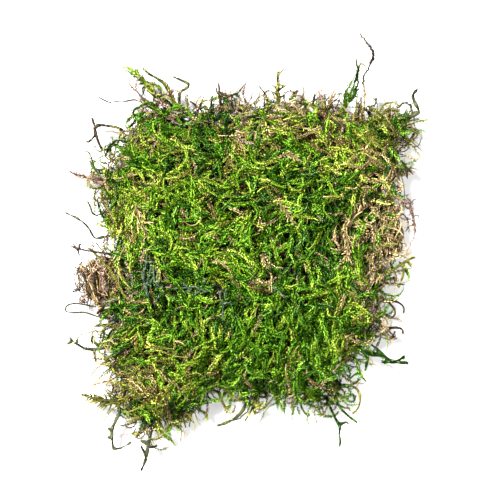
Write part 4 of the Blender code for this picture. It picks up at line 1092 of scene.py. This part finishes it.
DEAD_RIBS = (0.26, 0.84)     # their shades from foot to tip
LIVING_RIBS = (0.24, 0.66)
BOTH_SIDES = (1, -1)
# A frond with ribs: its tone, its stem as seen from above with the height that it lies over the
# mat's top, or its stem in space, its thickness, and its ribs' length, thickness, spacing, sides
# and shades
Feather = namedtuple("Feather", "tone stem height thick rib rib_thick spacing sides shades",
                     defaults=(BOTH_SIDES, DEAD_RIBS))
FEATHERS = {
    "tan_feather_left": Feather(TAN, ((-33.6, 16.0), (-32.6, 12.5), (-31.2, 9.5), (-29.6, 6.4)),
                                2.2, 0.45, 3.0, 0.55, 0.95),
    "tan_strip_middle": Feather(TAN, ((10.6, 18.6), (13.2, 15.0), (15.6, 11.6), (18.0, 7.8)),
                                1.6, 0.45, 1.5, 0.40, 0.85),
    "dead_frond_right": Feather(TAN, ((33.2, 12.0), (33.0, 7.0), (34.4, 2.0), (33.0, -1.8),
                                      (29.6, -5.0)), 1.8, 0.45, 1.5, 0.45, 0.85),
    "tan_fan_right": Feather(TAN, ((33.4, 8.0), (35.4, 10.6), (37.8, 13.4), (40.6, 15.4)),
                             2.0, 0.6, 4.4, 0.75, 0.95, (-1,)),
    "pale_curl_middle": Feather(TAN, ((-9.4, -2.4), (-7.0, -2.2), (-4.8, -3.6), (-3.0, -6.0)),
                                2.0, 0.6, 1.1, 0.42, 0.9),
    "pale_strand_top": Feather(TAN, ((11.0, 30.2), (14.2, 31.8), (16.6, 31.0), (19.4, 29.0)),
                               2.0, 0.6, 1.3, 0.42, 0.9),
    "yellow_strand_top": Feather(BRIGHT, ((-20.5, 44.0), (-17.6, 38.6), (-15.2, 35.6),
                                          (-12.0, 30.5)),
                                 2.2, 0.8, 1.1, 0.50, 0.6, BOTH_SIDES, LIVING_RIBS),
    "feather_frond_bottom_left": Feather(FERN, ((-30, -44.6, 6.2), (-36.3, -46.6, 7.4),
                                                (-42, -47, 7.5), (-46, -46.6, 7.3),
                                                (-51.0, -45.0, 7)),
                                         None, 1.2, 3.7, 0.70, 0.95, (-1, -1, 1), LIVING_RIBS),
}
RIB_LEAN = 1.05              # a rib's turn from its stem at its foot
RIB_CURVE = 0.75             # and how far it bends forward by its tip
RIB_JITTER = 0.35
RIB_ARCH = 0.5               # how high a rib arches
RIB_ARCH_TURN = 2.6          # and the angle of the sine that it follows
RIB_SIZES = (0.4, 1.3)
RIB_LIFTS = (-0.2, 0.3)      # how far ribs lie under and over one another
SPINE_SHADES = (0.30, 0.50)
STEPS_BETWEEN = 4            # the steps of a smoothed path for each point that it is given
EASINGS = 2
LAID_END = 0.25              # the angle at which a laid path starts on the arch of a sine


def smooth_path(points, height):
    """A path through points in space, or laid at a height over the mat's top if it has one."""
    points = np.array(points, float)
    count = STEPS_BETWEEN * len(points)
    spots = np.linspace(0, len(points) - 1, count)
    path = np.stack([np.interp(spots, np.arange(len(points)), column) for column in points.T], 1)
    for _ in range(EASINGS):
        path[1:-1] = (path[:-2] + 2 * path[1:-1] + path[2:]) / 4
    if height is None:
        return path
    lie = surface(path[:, 0], path[:, 1]) - SUNK
    lift = height * np.sin(np.linspace(LAID_END, math.pi - LAID_END, count)) ** 0.5
    return np.column_stack([path, lie + lift])


def feather(form):
    """A frond, living or dead: a stem with curved ribs that stand off it in ranks."""
    stem = smooth_path(form.stem, form.height)[None]
    count = int(lengths_of(stem)[0] / form.spacing)
    share = np.tile((np.arange(count) + 0.5) / count, len(form.sides))
    side = np.repeat(form.sides, count)
    foot, forward = along(stem, np.zeros(len(share), int), share)
    across = unit(np.cross(forward, UP)) * side[:, None]
    way = np.linspace(0, 1, PATH_POINTS)
    length = form.rib * size_along(share) * chance.uniform(*RIB_SIZES, len(share))
    lean = chance.normal(RIB_LEAN, RIB_JITTER, len(share))[:, None] - RIB_CURVE * way[None]
    step = (length / (PATH_POINTS - 1))[:, None]
    ahead = np.cumsum(np.cos(lean) * step, axis=1)[..., None]
    out = np.cumsum(np.sin(lean) * step, axis=1)[..., None]
    paths = foot[:, None] + forward[:, None] * ahead + across[:, None] * out
    lift = chance.uniform(*RIB_LIFTS, len(share))[:, None]
    paths[..., 2] += RIB_ARCH * np.sin(way * RIB_ARCH_TURN) + lift
    ribs = Sprigs(paths, form.tone + chance.normal(0, DRESS_TONE_JITTER, len(share)))
    ribs = stems_of(ribs, form.rib_thick, tip_share=0.3, sides=4, shades=form.shades)
    spine = Sprigs(stem, np.array([form.tone]))
    spine = stems_of(spine, form.thick, tip_share=0.6, sides=5, shades=SPINE_SHADES)
    return joined([spine, ribs])


# A thin stem or shoot: its tone, its thickness, how long its leaves are or 0, and the points that
# it runs through in space, or as seen from above with its height over the mat's top
Strand = namedtuple("Strand", "tone thick leaf points height", defaults=(None,))
# Fronds that are several shoots side by side
SHOOTS = {
    "green_frond_top_left": (
        Strand(LIME, 0.9, 1.8,
               ((-26.5, 47.5, 6), (-28.2, 51.2, 6.8), (-30.4, 54.6, 7.5), (-33, 57.4, 8),
                (-35.6, 59.2, 8), (-37.8, 59.9, 7.5))),
        Strand(LIME, 0.6, 1.3,
               ((-29.5, 52.5, 7.6), (-30.6, 55.4, 8.4), (-32.4, 57.2, 9), (-34.2, 58.6, 9),
                (-36.4, 59.9, 8.4))),
        Strand(GREEN, 0.6, 1.4,
               ((-29.9, 53.5, 6.9), (-31.6, 55.2, 7), (-33.8, 57.0, 7.2), (-36.8, 58.6, 7.2))),
        Strand(YELLOW, 0.5, 0.8,
               ((-30.4, 54.8, 8), (-30.1, 52.8, 8), (-28.4, 51.4, 8), (-25.8, 50.8, 8))),
        Strand(DEEP, 0.4, 0.7, ((-30.2, 54.4, 7.5), (-31.4, 53.4, 7.2), (-31.6, 51.9, 7.0))),
        Strand(MOSSY, 0.35, 0.6, ((-32.8, 57.2, 8), (-33.1, 58.8, 8.2), (-33.6, 60.6, 8.5))),
        Strand(OLIVE, 0.4, 0.7, ((-30.3, 53.4, 7), (-28.6, 54.2, 7.2), (-27, 53.4, 7))),
        Strand(MOSSY, 0.25, 0, ((-36.5, 58.8, 7.6), (-38.3, 57.9, 7.6), (-40.5, 57.0, 7.4)))),
    "long_tendril_top_right": (
        Strand(TAN, 0.45, 0.7,
               ((38.5, 41, 7.6), (39.2, 47.5, 10), (39.4, 52, 11.5), (38.8, 56.2, 12.8))),
        Strand(DARK, 0.65, 0.5,
               ((38.8, 54, 12.2), (39.0, 56.4, 12.8), (39.7, 57.8, 13.1), (40.7, 58.9, 13.4),
                (40.9, 60.2, 13.5), (41.5, 61.4, 13.6), (42.0, 62.4, 13.7))),
        Strand(DARK, 0.95, 0.8,
               ((41.0, 60.4, 13.6), (41.8, 61.7, 13.7), (42.2, 63.0, 13.8), (42.0, 64.3, 13.8),
                (41.3, 65.4, 13.7), (40.4, 66.4, 13.6), (39.5, 67.8, 13.4), (37.9, 70, 13.2)))),
    "tall_frond_top_right": (
        Strand(BRIGHT, 1.0, 1.4,
               ((30.5, 42.5, 7), (32.4, 45.6, 9), (34, 48.6, 11), (35.2, 52, 13),
                (36.2, 55, 14.2))),
        Strand(BRIGHT, 0.8, 1.4,
               ((33.2, 47.6, 10.6), (33.4, 50.2, 12.4), (34, 52.6, 13.6), (35.4, 54.8, 14.2))),
        Strand(BRIGHT, 0.8, 1.4, ((33.6, 47.2, 10.8), (32.8, 49.4, 12), (33.2, 51.8, 13))),
        Strand(GREEN, 1.0, 1.5, ((34.4, 48.4, 11.4), (36, 50.6, 13), (36.6, 53, 14))),
        Strand(BRIGHT, 0.6, 1.0, ((35, 49.6, 12.2), (36.8, 51, 13), (37.4, 52.8, 13.2))),
        Strand(DEEP, 0.9, 0.9,
               ((36.0, 54.4, 14.2), (36.8, 56.6, 14.8), (37, 58.6, 15.2), (36.4, 61.6, 15.5))),
        Strand(DEEP, 0.6, 0.8, ((36.4, 52, 14), (37.2, 54.6, 14.6), (36.8, 58.4, 15.2))),
        Strand(MOSSY, 0.4, 0.5, ((32.6, 50.6, 12.6), (34.4, 53.6, 13.6), (36.8, 57.4, 15))),
        Strand(OLIVE, 0.6, 0.7,
               ((36.8, 57.8, 15), (37.6, 60.0, 15.3), (38.6, 60.2, 15.3), (39.8, 58.9, 15.3)))),
}
# Thin stems and shoots that stand here alone, with no solid of their own
STRANDS = (
    Strand(MOSSY, 0.30, 0, ((-31, 45, 6), (-34, 46.4, 6), (-40, 46.2, 5.5))),
    Strand(BROWN, 0.40, 0.7,
           ((-30, 47, 7), (-32, 51, 7), (-34, 52.5, 7), (-36, 54.5, 7), (-35.5, 55.8, 7))),
    Strand(BROWN, 0.90, 1.2,
           ((-20, 46, 7), (-21.5, 49.5, 7.4), (-22.8, 52, 7.6), (-24, 55, 7.4))),
    Strand(PINK, 0.90, 1.2, ((-27, 46, 7), (-28.5, 48, 7), (-31, 49.2, 7), (-33, 49, 7))),
    Strand(PINK, 0.90, 1.2, ((-22, 45, 7.5), (-24.5, 47, 7.5), (-27.5, 49.6, 7.6))),
    Strand(GREEN, 0.90, 1.3,
           ((-34, 46.5, 7.5), (-31, 47.5, 8.5), (-27, 46.5, 9.5), (-23, 44, 10.5))),
    Strand(BRIGHT, 0.90, 1.3,
           ((-33, 44.5, 7.5), (-30, 45.2, 9), (-26, 44.5, 10), (-22.5, 42, 10.5))),
    Strand(BRIGHT, 0.90, 1.3,
           ((-22, 48.4, 8), (-18.5, 46.5, 9.5), (-15, 43.5, 10.5), (-13, 40.5, 11))),
    Strand(DEEP, 0.60, 1.0,
           ((-28, -46, 6.3), (-31, -52.5, 6.8), (-31.8, -55, 7), (-32.5, -57.4, 7))),
    Strand(OLIVE, 0.50, 0.8, ((-4, -46.8, 6.6), (-2, -47.1, 6.8), (1, -46.9, 6.8))),
    Strand(OLIVE, 0.60, 0,
           ((3.5, -46, 7), (2.5, -50, 7), (0.5, -52, 7), (-2, -53.3, 7), (-5, -54.6, 7))),
    Strand(DARK, 0.45, 0, ((20, -46, 6.4), (22.5, -49.3, 6.4), (25, -48.2, 6.4))),
    Strand(DEEP, 0.50, 0.9,
           ((32, -35, 8), (34.4, -36.1, 8), (35, -38.4, 7.6), (34.0, -40.6, 7))),
    Strand(GREEN, 0.50, 0.9, ((32, -45.5, 7), (34, -46, 7), (35.2, -44.6, 7), (34.5, -43.2, 7))),
    Strand(BROWN, 0.40, 0.7,
           ((31, -48, 6), (33.1, -49.2, 6.4), (34.6, -49.2, 6.4), (35, -50.4, 6))),
    Strand(OLIVE, 0.50, 0.9, ((39, -26, 8), (41, -30, 8), (40.8, -33.6, 7.4), (40.1, -36.6, 7))),
    Strand(MOSSY, 0.25, 0, ((45, -34, 6), (47.4, -35.8, 6), (50.2, -38.7, 5))),
    Strand(DARK, 0.50, 0, ((28, 47, 7), (29.2, 50.8, 8), (30.3, 53.2, 8.5))),
    Strand(BROWN, 0.40, 0, ((50.5, 27, 6), (51.5, 25, 6.4), (52.3, 22, 6.4), (52.2, 14, 6))),
    Strand(BROWN, 0.45, 0, ((30.5, 47), (32.5, 43.5), (35.5, 41.5), (38, 42.5)), 2.6),
    Strand(DARK, 0.45, 0, ((29.5, 45.5), (31, 42), (34, 39.8), (37, 40.5)), 2.8),
    Strand(TAN, 0.40, 0, ((31.5, 48.5), (34, 45), (36.6, 43.4), (39, 44.6)), 2.8),
    Strand(BROWN, 0.40, 0, ((30.2, 43.6), (32, 40.6), (35, 38.8)), 2.6),
    Strand(OLIVE, 0.55, 0.8, ((35, 40, 10), (36.4, 45, 11), (37.2, 51, 12))),
    Strand(OLIVE, 0.55, 0.8, ((36.5, 41, 9), (38.2, 46, 10), (38.8, 51, 11))),
    Strand(DARK, 0.45, 0.6, ((35.5, 40, 9.5), (37.2, 45, 10.6), (38, 50, 11.4))),
    Strand(TAN, 0.40, 0.7, ((37.6, 42, 9), (39.4, 47, 10), (39.6, 51, 11), (38.6, 56, 12))),
    Strand(OLIVE, 0.60, 0.9, ((40.6, 47.4, 8), (43, 46, 8.6), (44.6, 43.6, 9), (45, 40, 9))),
    Strand(OLIVE, 0.50, 0.8, ((44.4, 45.6, 8.5), (46, 48, 9), (49, 48.4, 9), (51, 47.2, 9))),
    Strand(OLIVE, 0.60, 0.9,
           ((44.4, 40, 8), (44.8, 44.6, 9), (47.6, 46.6, 9.6), (50.2, 46, 9.6), (51.2, 43, 9))),
    Strand(DARK_OLIVE, 0.60, 1.0,
           ((50.4, 46.6, 9), (52, 48.6, 9.6), (54, 47.6, 9.6), (55, 44.4, 9.2), (55.4, 41, 8.6))),
    Strand(OLIVE, 0.50, 0.8,
           ((41.6, 38.6, 8), (41, 41.6, 8.6), (42.4, 44, 8.6), (44.6, 43.4, 8.4))),
    Strand(BROWN, 0.45, 0, ((47, 39, 8.5), (47.4, 42, 9), (48.4, 45, 9.2))),
    Strand(BROWN, 0.45, 0, ((48.4, 38.6, 8.5), (49, 42, 9), (49.8, 44.6, 9.2))),
    Strand(GREEN, 0.60, 1.1, ((-15.5, 42), (-14.8, 38), (-14.5, 33)), 3.0),
    Strand(DEEP, 0.60, 1.1, ((-13.6, 42.5), (-12.8, 38), (-12.9, 34)), 3.0),
    Strand(GREEN, 0.60, 1.1, ((-11.4, 42), (-10.8, 38.5), (-11.2, 34.5)), 3.0),
    Strand(TAN, 0.50, 0,
           ((-40.6, 1, 9), (-38.6, -3, 10), (-39.4, -8, 10.4), (-37, -13, 10), (-37.4, -19, 9),
            (-35.5, -24, 8))),
    Strand(TAN, 0.40, 0.7, ((-37, 10, 9), (-38.4, 5, 9.6), (-38, 0, 10), (-40.5, -3, 9))),
    Strand(OLIVE, 0.60, 0.9,
           ((-49, 2, 8), (-46.6, 0.4, 9), (-43.5, -3, 10), (-40, -7.5, 11), (-38, -12, 11.4),
            (-35, -16, 11.6))),
    Strand(YELLOW, 0.50, 0.9, ((-37, 2, 11), (-39.5, -3, 11.4), (-38, -8, 12), (-34, -12, 12))),
    Strand(GREEN, 0.70, 1.1,
           ((-44.6, -21, 8), (-42.6, -17.6, 9.4), (-39.6, -16.6, 10.6), (-37, -19, 11),
            (-35.6, -24, 10.6), (-34, -34, 10.4))),
    Strand(YELLOW, 0.60, 0.9,
           ((40, 0.5, 10), (44, 2.2, 10.5), (47, 3.4, 10.5), (49.5, 3.2, 10))),
    Strand(TAN, 0.50, 0, ((44, 33, 7), (46.5, 28, 8), (47.6, 22, 8), (46.8, 14, 8))),
    Strand(OLIVE, 0.50, 0, ((45, 30, 8), (48.4, 24, 8), (47.5, 17, 8.4), (45.5, 10, 8.6))),
)
# Grey threads over the shoots: three knots left of the middle, and one thread right of it
THREADS = tuple(Strand(MOSSY, *row) for row in (
    (0.60, 0.5,
     ((-29.6, 0.1), (-30.3, -4.0), (-30.7, -8.1), (-29.8, -11.7), (-28.7, -14.5)), 3.8),
    (0.50, 0.5, ((-28.4, -3.7), (-28.9, -6.7), (-29.6, -9.0), (-30.3, -10.8)), 4.4),
    (0.65, 0.5,
     ((-27.7, -3.7), (-27.5, -6.7), (-27.3, -8.5), (-25.9, -10.4), (-24.5, -10.8)), 4.2),
    (0.55, 0.5, ((-26.4, -3.7), (-26.1, -6.3), (-26.1, -8.5), (-25.2, -10.1)), 4.4),
    (0.65, 0.5, ((-30.7, -10.4), (-29.6, -12.7), (-28.9, -14.5)), 3.8),
    (0.55, 0.5, ((-29.8, -4.6), (-31.4, -6.6), (-30.2, -9.4), (-31.0, -12.0)), 3.6),
    (0.55, 0.5, ((-28.0, -5.4), (-29.2, -8.2), (-28.4, -11.0)), 3.6),
    (0.55, 0.5, ((-31.0, -2.0), (-29.0, -2.8), (-27.4, -2.2), (-26.6, -4.6)), 3.4),
    (0.50, 0.5, ((-25.0, -12.0), (-26.6, -14.4), (-27.4, -17.0)), 3.2),
    (0.50, 0.5,
     ((-20.7, -10.8), (-17.5, -10.6), (-14.7, -10.1), (-12.2, -11.5), (-10.1, -11.7),
      (-8.5, -9.9), (-8.1, -9.0)), 3.8),
    (0.45, 0.5, ((-13.3, -11.3), (-12.2, -9.9), (-11.5, -8.5), (-10.6, -7.6)), 4.0),
    (0.45, 0.5, ((-15.2, -13.6), (-13.8, -12.2), (-12.9, -11.7)), 3.6),
    (0.45, 0.5, ((-19.0, -8.6), (-17.4, -9.8), (-15.8, -11.2), (-16.4, -12.6)), 3.6),
    (0.45, 0.5, ((-18.8, -12.4), (-16.6, -11.6), (-14.2, -12.4)), 3.4),
    (0.50, 0,
     ((-5.6, -10.8), (-6.7, -12.2), (-6.5, -14.0), (-5.6, -16.3), (-5.6, -19.1),
      (-5.8, -21.8)), 3.8),
    (0.45, 0, ((-4.7, -11.3), (-5.3, -13.1), (-4.9, -14.9)), 4.0),
    (0.50, 0, ((-6.5, -15.9), (-4.7, -15.4), (-2.8, -15.6), (-2.1, -16.1)), 4.2),
    (0.40, 0, ((8.6, -9.6), (12.2, -11.8), (15.0, -14.7)), 3.4),
))
# The long strands of the two dead thatches
LEFT_STRANDS = (
    Strand(BROWN, 0.50, 0.7,
           ((-51.0, -2.4, 6), (-52.2, -5.1, 6), (-52.4, -7.7, 5.6), (-51.4, -9.9, 5.2),
            (-50.6, -12.2, 4.6))),
    Strand(TAN, 0.50, 0,
           ((-48.9, -1.6, 9), (-47.9, -4.6, 9.6), (-48.2, -7.4, 9.4), (-47.2, -10.4, 8.6),
            (-47.4, -13, 7.4), (-46, -16, 6))),
    Strand(PINK, 0.45, 0.9,
           ((-44.6, 0.4, 9.6), (-43.6, -3, 10.4), (-44.8, -6.4, 10.2), (-43.4, -10, 9.6),
            (-44.4, -13.6, 8.4))),
    Strand(PINK, 0.55, 1.2, ((-51.2, -3, 7), (-50.2, -5.6, 7.6), (-49.6, -8, 7.8))),
    Strand(PINK, 0.55, 1.1, ((-50.8, -7, 6.4), (-49.4, -9.6, 7), (-49, -12.4, 6.6))),
    Strand(PINK, 0.50, 1.2, ((-46, -1, 9), (-47.4, 1.6, 9), (-47.6, 4.4, 8.4))),
    Strand(DARK, 0.40, 0,
           ((-49.6, -9, 5.6), (-51.4, -10.6, 5.4), (-52.6, -11.4, 5.2), (-53.2, -13.2, 5))),
    Strand(DARK, 0.40, 0, ((-48.6, -12.4, 5.4), (-50.2, -13.4, 5), (-51, -15.8, 4.8))),
    Strand(BROWN, 0.40, 0, ((-46.6, -12, 5.6), (-48.4, -15, 5), (-48.8, -17.6, 4.6))),
)
RIGHT_STRANDS = (
    Strand(PLUM, 0.45, 0.7,
           ((49, 12, 6), (51, 16, 7.6), (52.8, 18.0, 8), (54.4, 17.0, 8), (54.0, 14.8, 8),
            (55.3, 12.6, 7.4), (54.9, 10.2, 7), (55.9, 8, 6.8), (55.3, 5, 6.3), (54.6, 3.4, 6),
            (52.8, 0, 5.4))),
    Strand(PLUM, 0.90, 1.0,
           ((54.2, 13.6, 7.6), (55.4, 11.4, 7), (55.5, 9.2, 6.8), (55.9, 7.0, 6.4))),
    Strand(PLUM, 0.50, 0.9, ((53.6, 16.8, 8.2), (54.6, 14.4, 8.2), (53.8, 12.2, 7.8))),
    Strand(DARK, 0.32, 0.5, ((54.0, 14.4, 8.2), (52.6, 15.0, 8.6), (52.3, 16.8, 8.6))),
    Strand(DARK, 0.32, 0.5, ((55.2, 12.2, 7.4), (56.6, 12.6, 7.6), (56.9, 11.2, 7.6))),
    Strand(DARK, 0.32, 0.5, ((55.0, 9.4, 7), (53.4, 8.8, 7.4), (52.8, 7.0, 7.4))),
    Strand(DARK, 0.30, 0, ((55.4, 5.4, 6.4), (56.5, 4.4, 6.6), (56.2, 3.0, 6.4))),
    Strand(DARK, 0.32, 0.5, ((54.4, 11.0, 7), (52.6, 11.6, 7.4), (51.4, 10.2, 7.2))),
    Strand(YELLOW, 0.45, 0.8,
           ((50.4, 30.4, 7), (49.2, 27.4, 8.6), (47.6, 23.6, 9), (47.2, 20.0, 8.6))),
    Strand(LIME, 0.45, 0.8, ((48.8, 30.4, 7.6), (47.6, 27.0, 9), (46.2, 23.8, 9.2))),
    Strand(TAN, 0.45, 0.7, ((51.6, 29, 6.4), (50.2, 25, 8), (50.2, 21, 8), (48.8, 17, 8))),
    Strand(DARK, 0.40, 0.5, ((48.5, 10, 7), (51.8, 13.4, 9), (53.8, 10, 8.6), (53.6, 7, 8))),
    Strand(DARK, 0.60, 0.7, ((48.6, 9, 6), (50.4, 5.4, 8.6), (49.8, 1.5, 7.6), (48.7, -3, 6.4))),
    Strand(DARK, 0.50, 0.7, ((49, 5, 6), (51.6, 3.2, 6), (52.2, 1.2, 5.6))),
    Strand(DARK, 0.35, 0, ((54.9, 15.6, 8), (55, 17.4, 8.2), (56.6, 17.2, 8.4))),
    Strand(DARK, 0.35, 0, ((53.2, 16.6, 8), (53.0, 18.4, 8.2), (53.6, 19.2, 8.2))),
    Strand(TAN, 0.50, 0,
           ((50.2, 27, 6.4), (51.2, 22, 7), (50.6, 17, 7.4), (49, 12, 7.6), (49.6, 7, 7.4))),
    Strand(TAN, 0.50, 0, ((47.4, 15, 8), (46.2, 10, 8.6), (46.8, 5, 8.6), (49.2, 1, 7.6))),
    Strand(BROWN, 0.50, 0, ((49.2, 14, 8), (48.2, 9, 8.6), (48.8, 4.6, 8.4), (51, 1.4, 7))),
)
STRAY = 0.13                 # how far a thin stem strays from a smooth line
STRAND_SHADES = (0.36, 0.54)
PALE_SHADES = (0.48, 0.62)   # for tan stems


def strand_clouds(strand):
    """A thin stem with its leaves, if it has them. The smaller they are, the closer they stand."""
    path = smooth_path(strand.points, strand.height)[None]
    path = path + chance.normal(0, STRAY, path.shape)
    sprigs = Sprigs(path, np.array([strand.tone]))
    shades = PALE_SHADES if strand.tone == TAN else STRAND_SHADES
    clouds = [stems_of(sprigs, strand.thick, tip_share=0.6, sides=5, shades=shades)]
    if strand.leaf:
        # Their leaves' tips take a little less painted light than the mat's shoots
        habit = Habit(density=6.0 / strand.leaf ** 0.7, length=strand.leaf,
                      width=0.5 * strand.leaf, lean=0.5, wrap=1.1, stem=strand.thick,
                      glow=(0.60, 0.90))
        clouds.append(leaves_on(sprigs, habit))
    return clouds


def clouds_of(strands):
    """Several thin stems with their leaves."""
    return [cloud for strand in strands for cloud in strand_clouds(strand)]


def loose_form(name, slot):
    """A loose stem or frond in its own way: with ribs, of several shoots, or dressed."""
    if name in FEATHERS:
        return feather(FEATHERS[name])
    if name in SHOOTS:
        return joined(clouds_of(SHOOTS[name]))
    return dressed_stem(name, slot)


def loose_stems(finish):
    """The loose stems and fronds, a piece for each finish, in place of their solids."""
    groups = {}
    for name in frame["nodes"]:
        if name in ("moss_pad", "dead_thatch_left", "dead_thatch_right"):
            continue
        groups.setdefault(finish_of(name), []).append(name)
    for slot, names in groups.items():
        cloud = joined([loose_form(name, slot) for name in names])
        piece = mesh_piece("loose_" + slot, cloud, finish)
        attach(piece, "root")
        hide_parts(*names)


# ---------------------------------------------------------------- the bed

BED_SEGMENTS = 160
BED_RINGS = 90
BED_INSET = 4.5              # how far the bed's rim lies inside the mat's
BED_DEPTH = 1.6              # how far its top lies under the mat's
CUT_REACH = 0.95             # the flat cut's reach, as a share of the rim's
SIDE_SHARE = 0.12            # the share of the bed's rings that make its side
BED_LUMPS = ((2.4, 2.4), (0.9, 1.0))     # the size and depth of its coarse and fine lumps
BED_LEVEL = 0.6              # the lumps' own height that leaves the bed where it is
BED_CALM = 0.2               # the bed is smooth up to this height, by its cut


def bed_point(turn, descent):
    """A point of the bed: descent runs from 0 in the middle of its top to 1 in that of its cut."""
    middle = 0.5
    side_start = middle - SIDE_SHARE / 2
    side_end = middle + SIDE_SHARE / 2
    degrees = math.degrees(turn) % 360
    rim = float(rim_at(degrees)) - BED_INSET
    if descent < side_start:
        reach = rim * math.sin(descent / side_start * math.pi / 2)
    elif descent < side_end:
        reach = rim * (1 - (1 - CUT_REACH) * (descent - side_start) / SIDE_SHARE)
    else:
        reach = rim * CUT_REACH * (1 - descent) / (1 - side_end)
    x = reach * math.cos(turn)
    y = reach * math.sin(turn)
    top = float(surface(np.array([x]), np.array([y]))[0]) - BED_DEPTH
    if descent < side_start:
        height = top
    elif descent < side_end:
        height = top * (side_end - descent) / SIDE_SHARE
    else:
        height = 0.0
    return Vector((x, y, max(height, 0.0)))


def bed_piece(finish):
    """The matted bed under the shoots: a ball drawn out to the mat's form, and roughened."""
    bpy.ops.object.select_all(action="DESELECT")
    bpy.ops.mesh.primitive_uv_sphere_add(segments=BED_SEGMENTS, ring_count=BED_RINGS, radius=1.0)
    bed = bpy.context.object
    bed.name = "matted_bed"
    for vertex in bed.data.vertices:
        descent = math.acos(max(-1.0, min(1.0, vertex.co.z))) / math.pi
        turn = math.atan2(vertex.co.y, vertex.co.x)
        vertex.co = bed_point(turn, descent) * MM
    above = bed.vertex_groups.new(name="above")
    for vertex in bed.data.vertices:
        share = min(1.0, max(0.0, vertex.co.z / MM - BED_CALM))
        above.add([vertex.index], share, "REPLACE")
    for size, depth in BED_LUMPS:
        lumps = bpy.data.textures.new("lumps", "CLOUDS")
        lumps.noise_scale = size * MM
        push = bed.modifiers.new("push", "DISPLACE")
        push.vertex_group = "above"
        push.strength = depth * MM
        push.texture = lumps
        push.texture_coords = "GLOBAL"
        push.mid_level = BED_LEVEL
        bpy.ops.object.modifier_apply(modifier=push.name)
    for vertex in bed.data.vertices:
        vertex.co.z = max(vertex.co.z, 0.0)
    bpy.ops.object.shade_smooth()
    bed.data.materials.append(finish)
    return bed


# ---------------------------------------------------------------- camera, light and floor

# A round light: its place and size in metres, and its power in watts
Lamp = namedtuple("Lamp", "place size power")
KEY = Lamp((-0.44, 0.34, 0.76), 0.20, 43.0)
FILL = Lamp((0.55, -0.38, 0.45), 0.60, 6.5)
SKY_STRENGTH = 0.44
FLOOR_SIZE = 6.0
CLIP_START = 0.01
CLIP_END = 10.0


def light_up(lamp):
    """A round light that shines on the middle of the floor."""
    bpy.ops.object.light_add(type="AREA", location=lamp.place)
    light = bpy.context.object
    light.data.shape = "DISK"
    light.data.size = lamp.size
    light.data.energy = lamp.power
    light.rotation_euler = (-light.location).to_track_quat("-Z", "Y").to_euler()


def studio(floor_material):
    """A white floor, a soft key light from the upper left, a pale sky, and a camera overhead."""
    bpy.ops.object.select_all(action="DESELECT")
    bpy.ops.mesh.primitive_plane_add(size=FLOOR_SIZE, location=(0, 0, 0))
    floor = bpy.context.object
    floor.name = "floor"
    floor.data.materials.append(floor_material)
    light_up(KEY)
    light_up(FILL)
    world = bpy.data.worlds.new("studio")
    world.use_nodes = True
    sky = world.node_tree.nodes["Background"]
    sky.inputs["Color"].default_value = (1, 1, 1, 1)
    sky.inputs["Strength"].default_value = SKY_STRENGTH
    scene = bpy.context.scene
    scene.world = world
    scene.view_settings.view_transform = "Standard"
    scene.view_settings.look = "None"
    centre = Vector((VIEW_CENTRE[0], VIEW_CENTRE[1], VIEW_PLANE)) * MM
    bpy.ops.object.camera_add(location=centre + Vector((0, 0, CAMERA_DISTANCE * MM)))
    camera = bpy.context.object
    camera.data.sensor_width = SENSOR_WIDTH
    camera.data.lens = SENSOR_WIDTH * CAMERA_DISTANCE / VIEW_WIDTH
    camera.data.clip_start = CLIP_START
    camera.data.clip_end = CLIP_END
    camera.rotation_euler = (0, 0, 0)
    scene.camera = camera


# ---------------------------------------------------------------- assembly

leaf = leaf_finish()

bed = bed_piece(bed_finish())
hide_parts("moss_pad")
pieces = [bed, side_family(leaf), mesh_piece("thin_strands", joined(clouds_of(STRANDS)), leaf)]
pieces += mat_layers(leaf)
pieces.append(tangle("side_tangle", leaf, SIDE_TANGLE, on_side))
for piece in pieces:
    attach(piece, "root")

threads = mesh_piece("grey_threads", joined(clouds_of(THREADS)), thread_finish())
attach(threads, "root")

left = tangle("left_thatch", leaf, LEFT_THATCH, None, LEFT_STRANDS)
right = tangle("right_thatch", leaf, RIGHT_THATCH, in_lump, RIGHT_STRANDS)
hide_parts("dead_thatch_left")
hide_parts("dead_thatch_right")
for piece in (left, right):
    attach(piece, "root")

loose_stems(leaf)
studio(floor_finish())
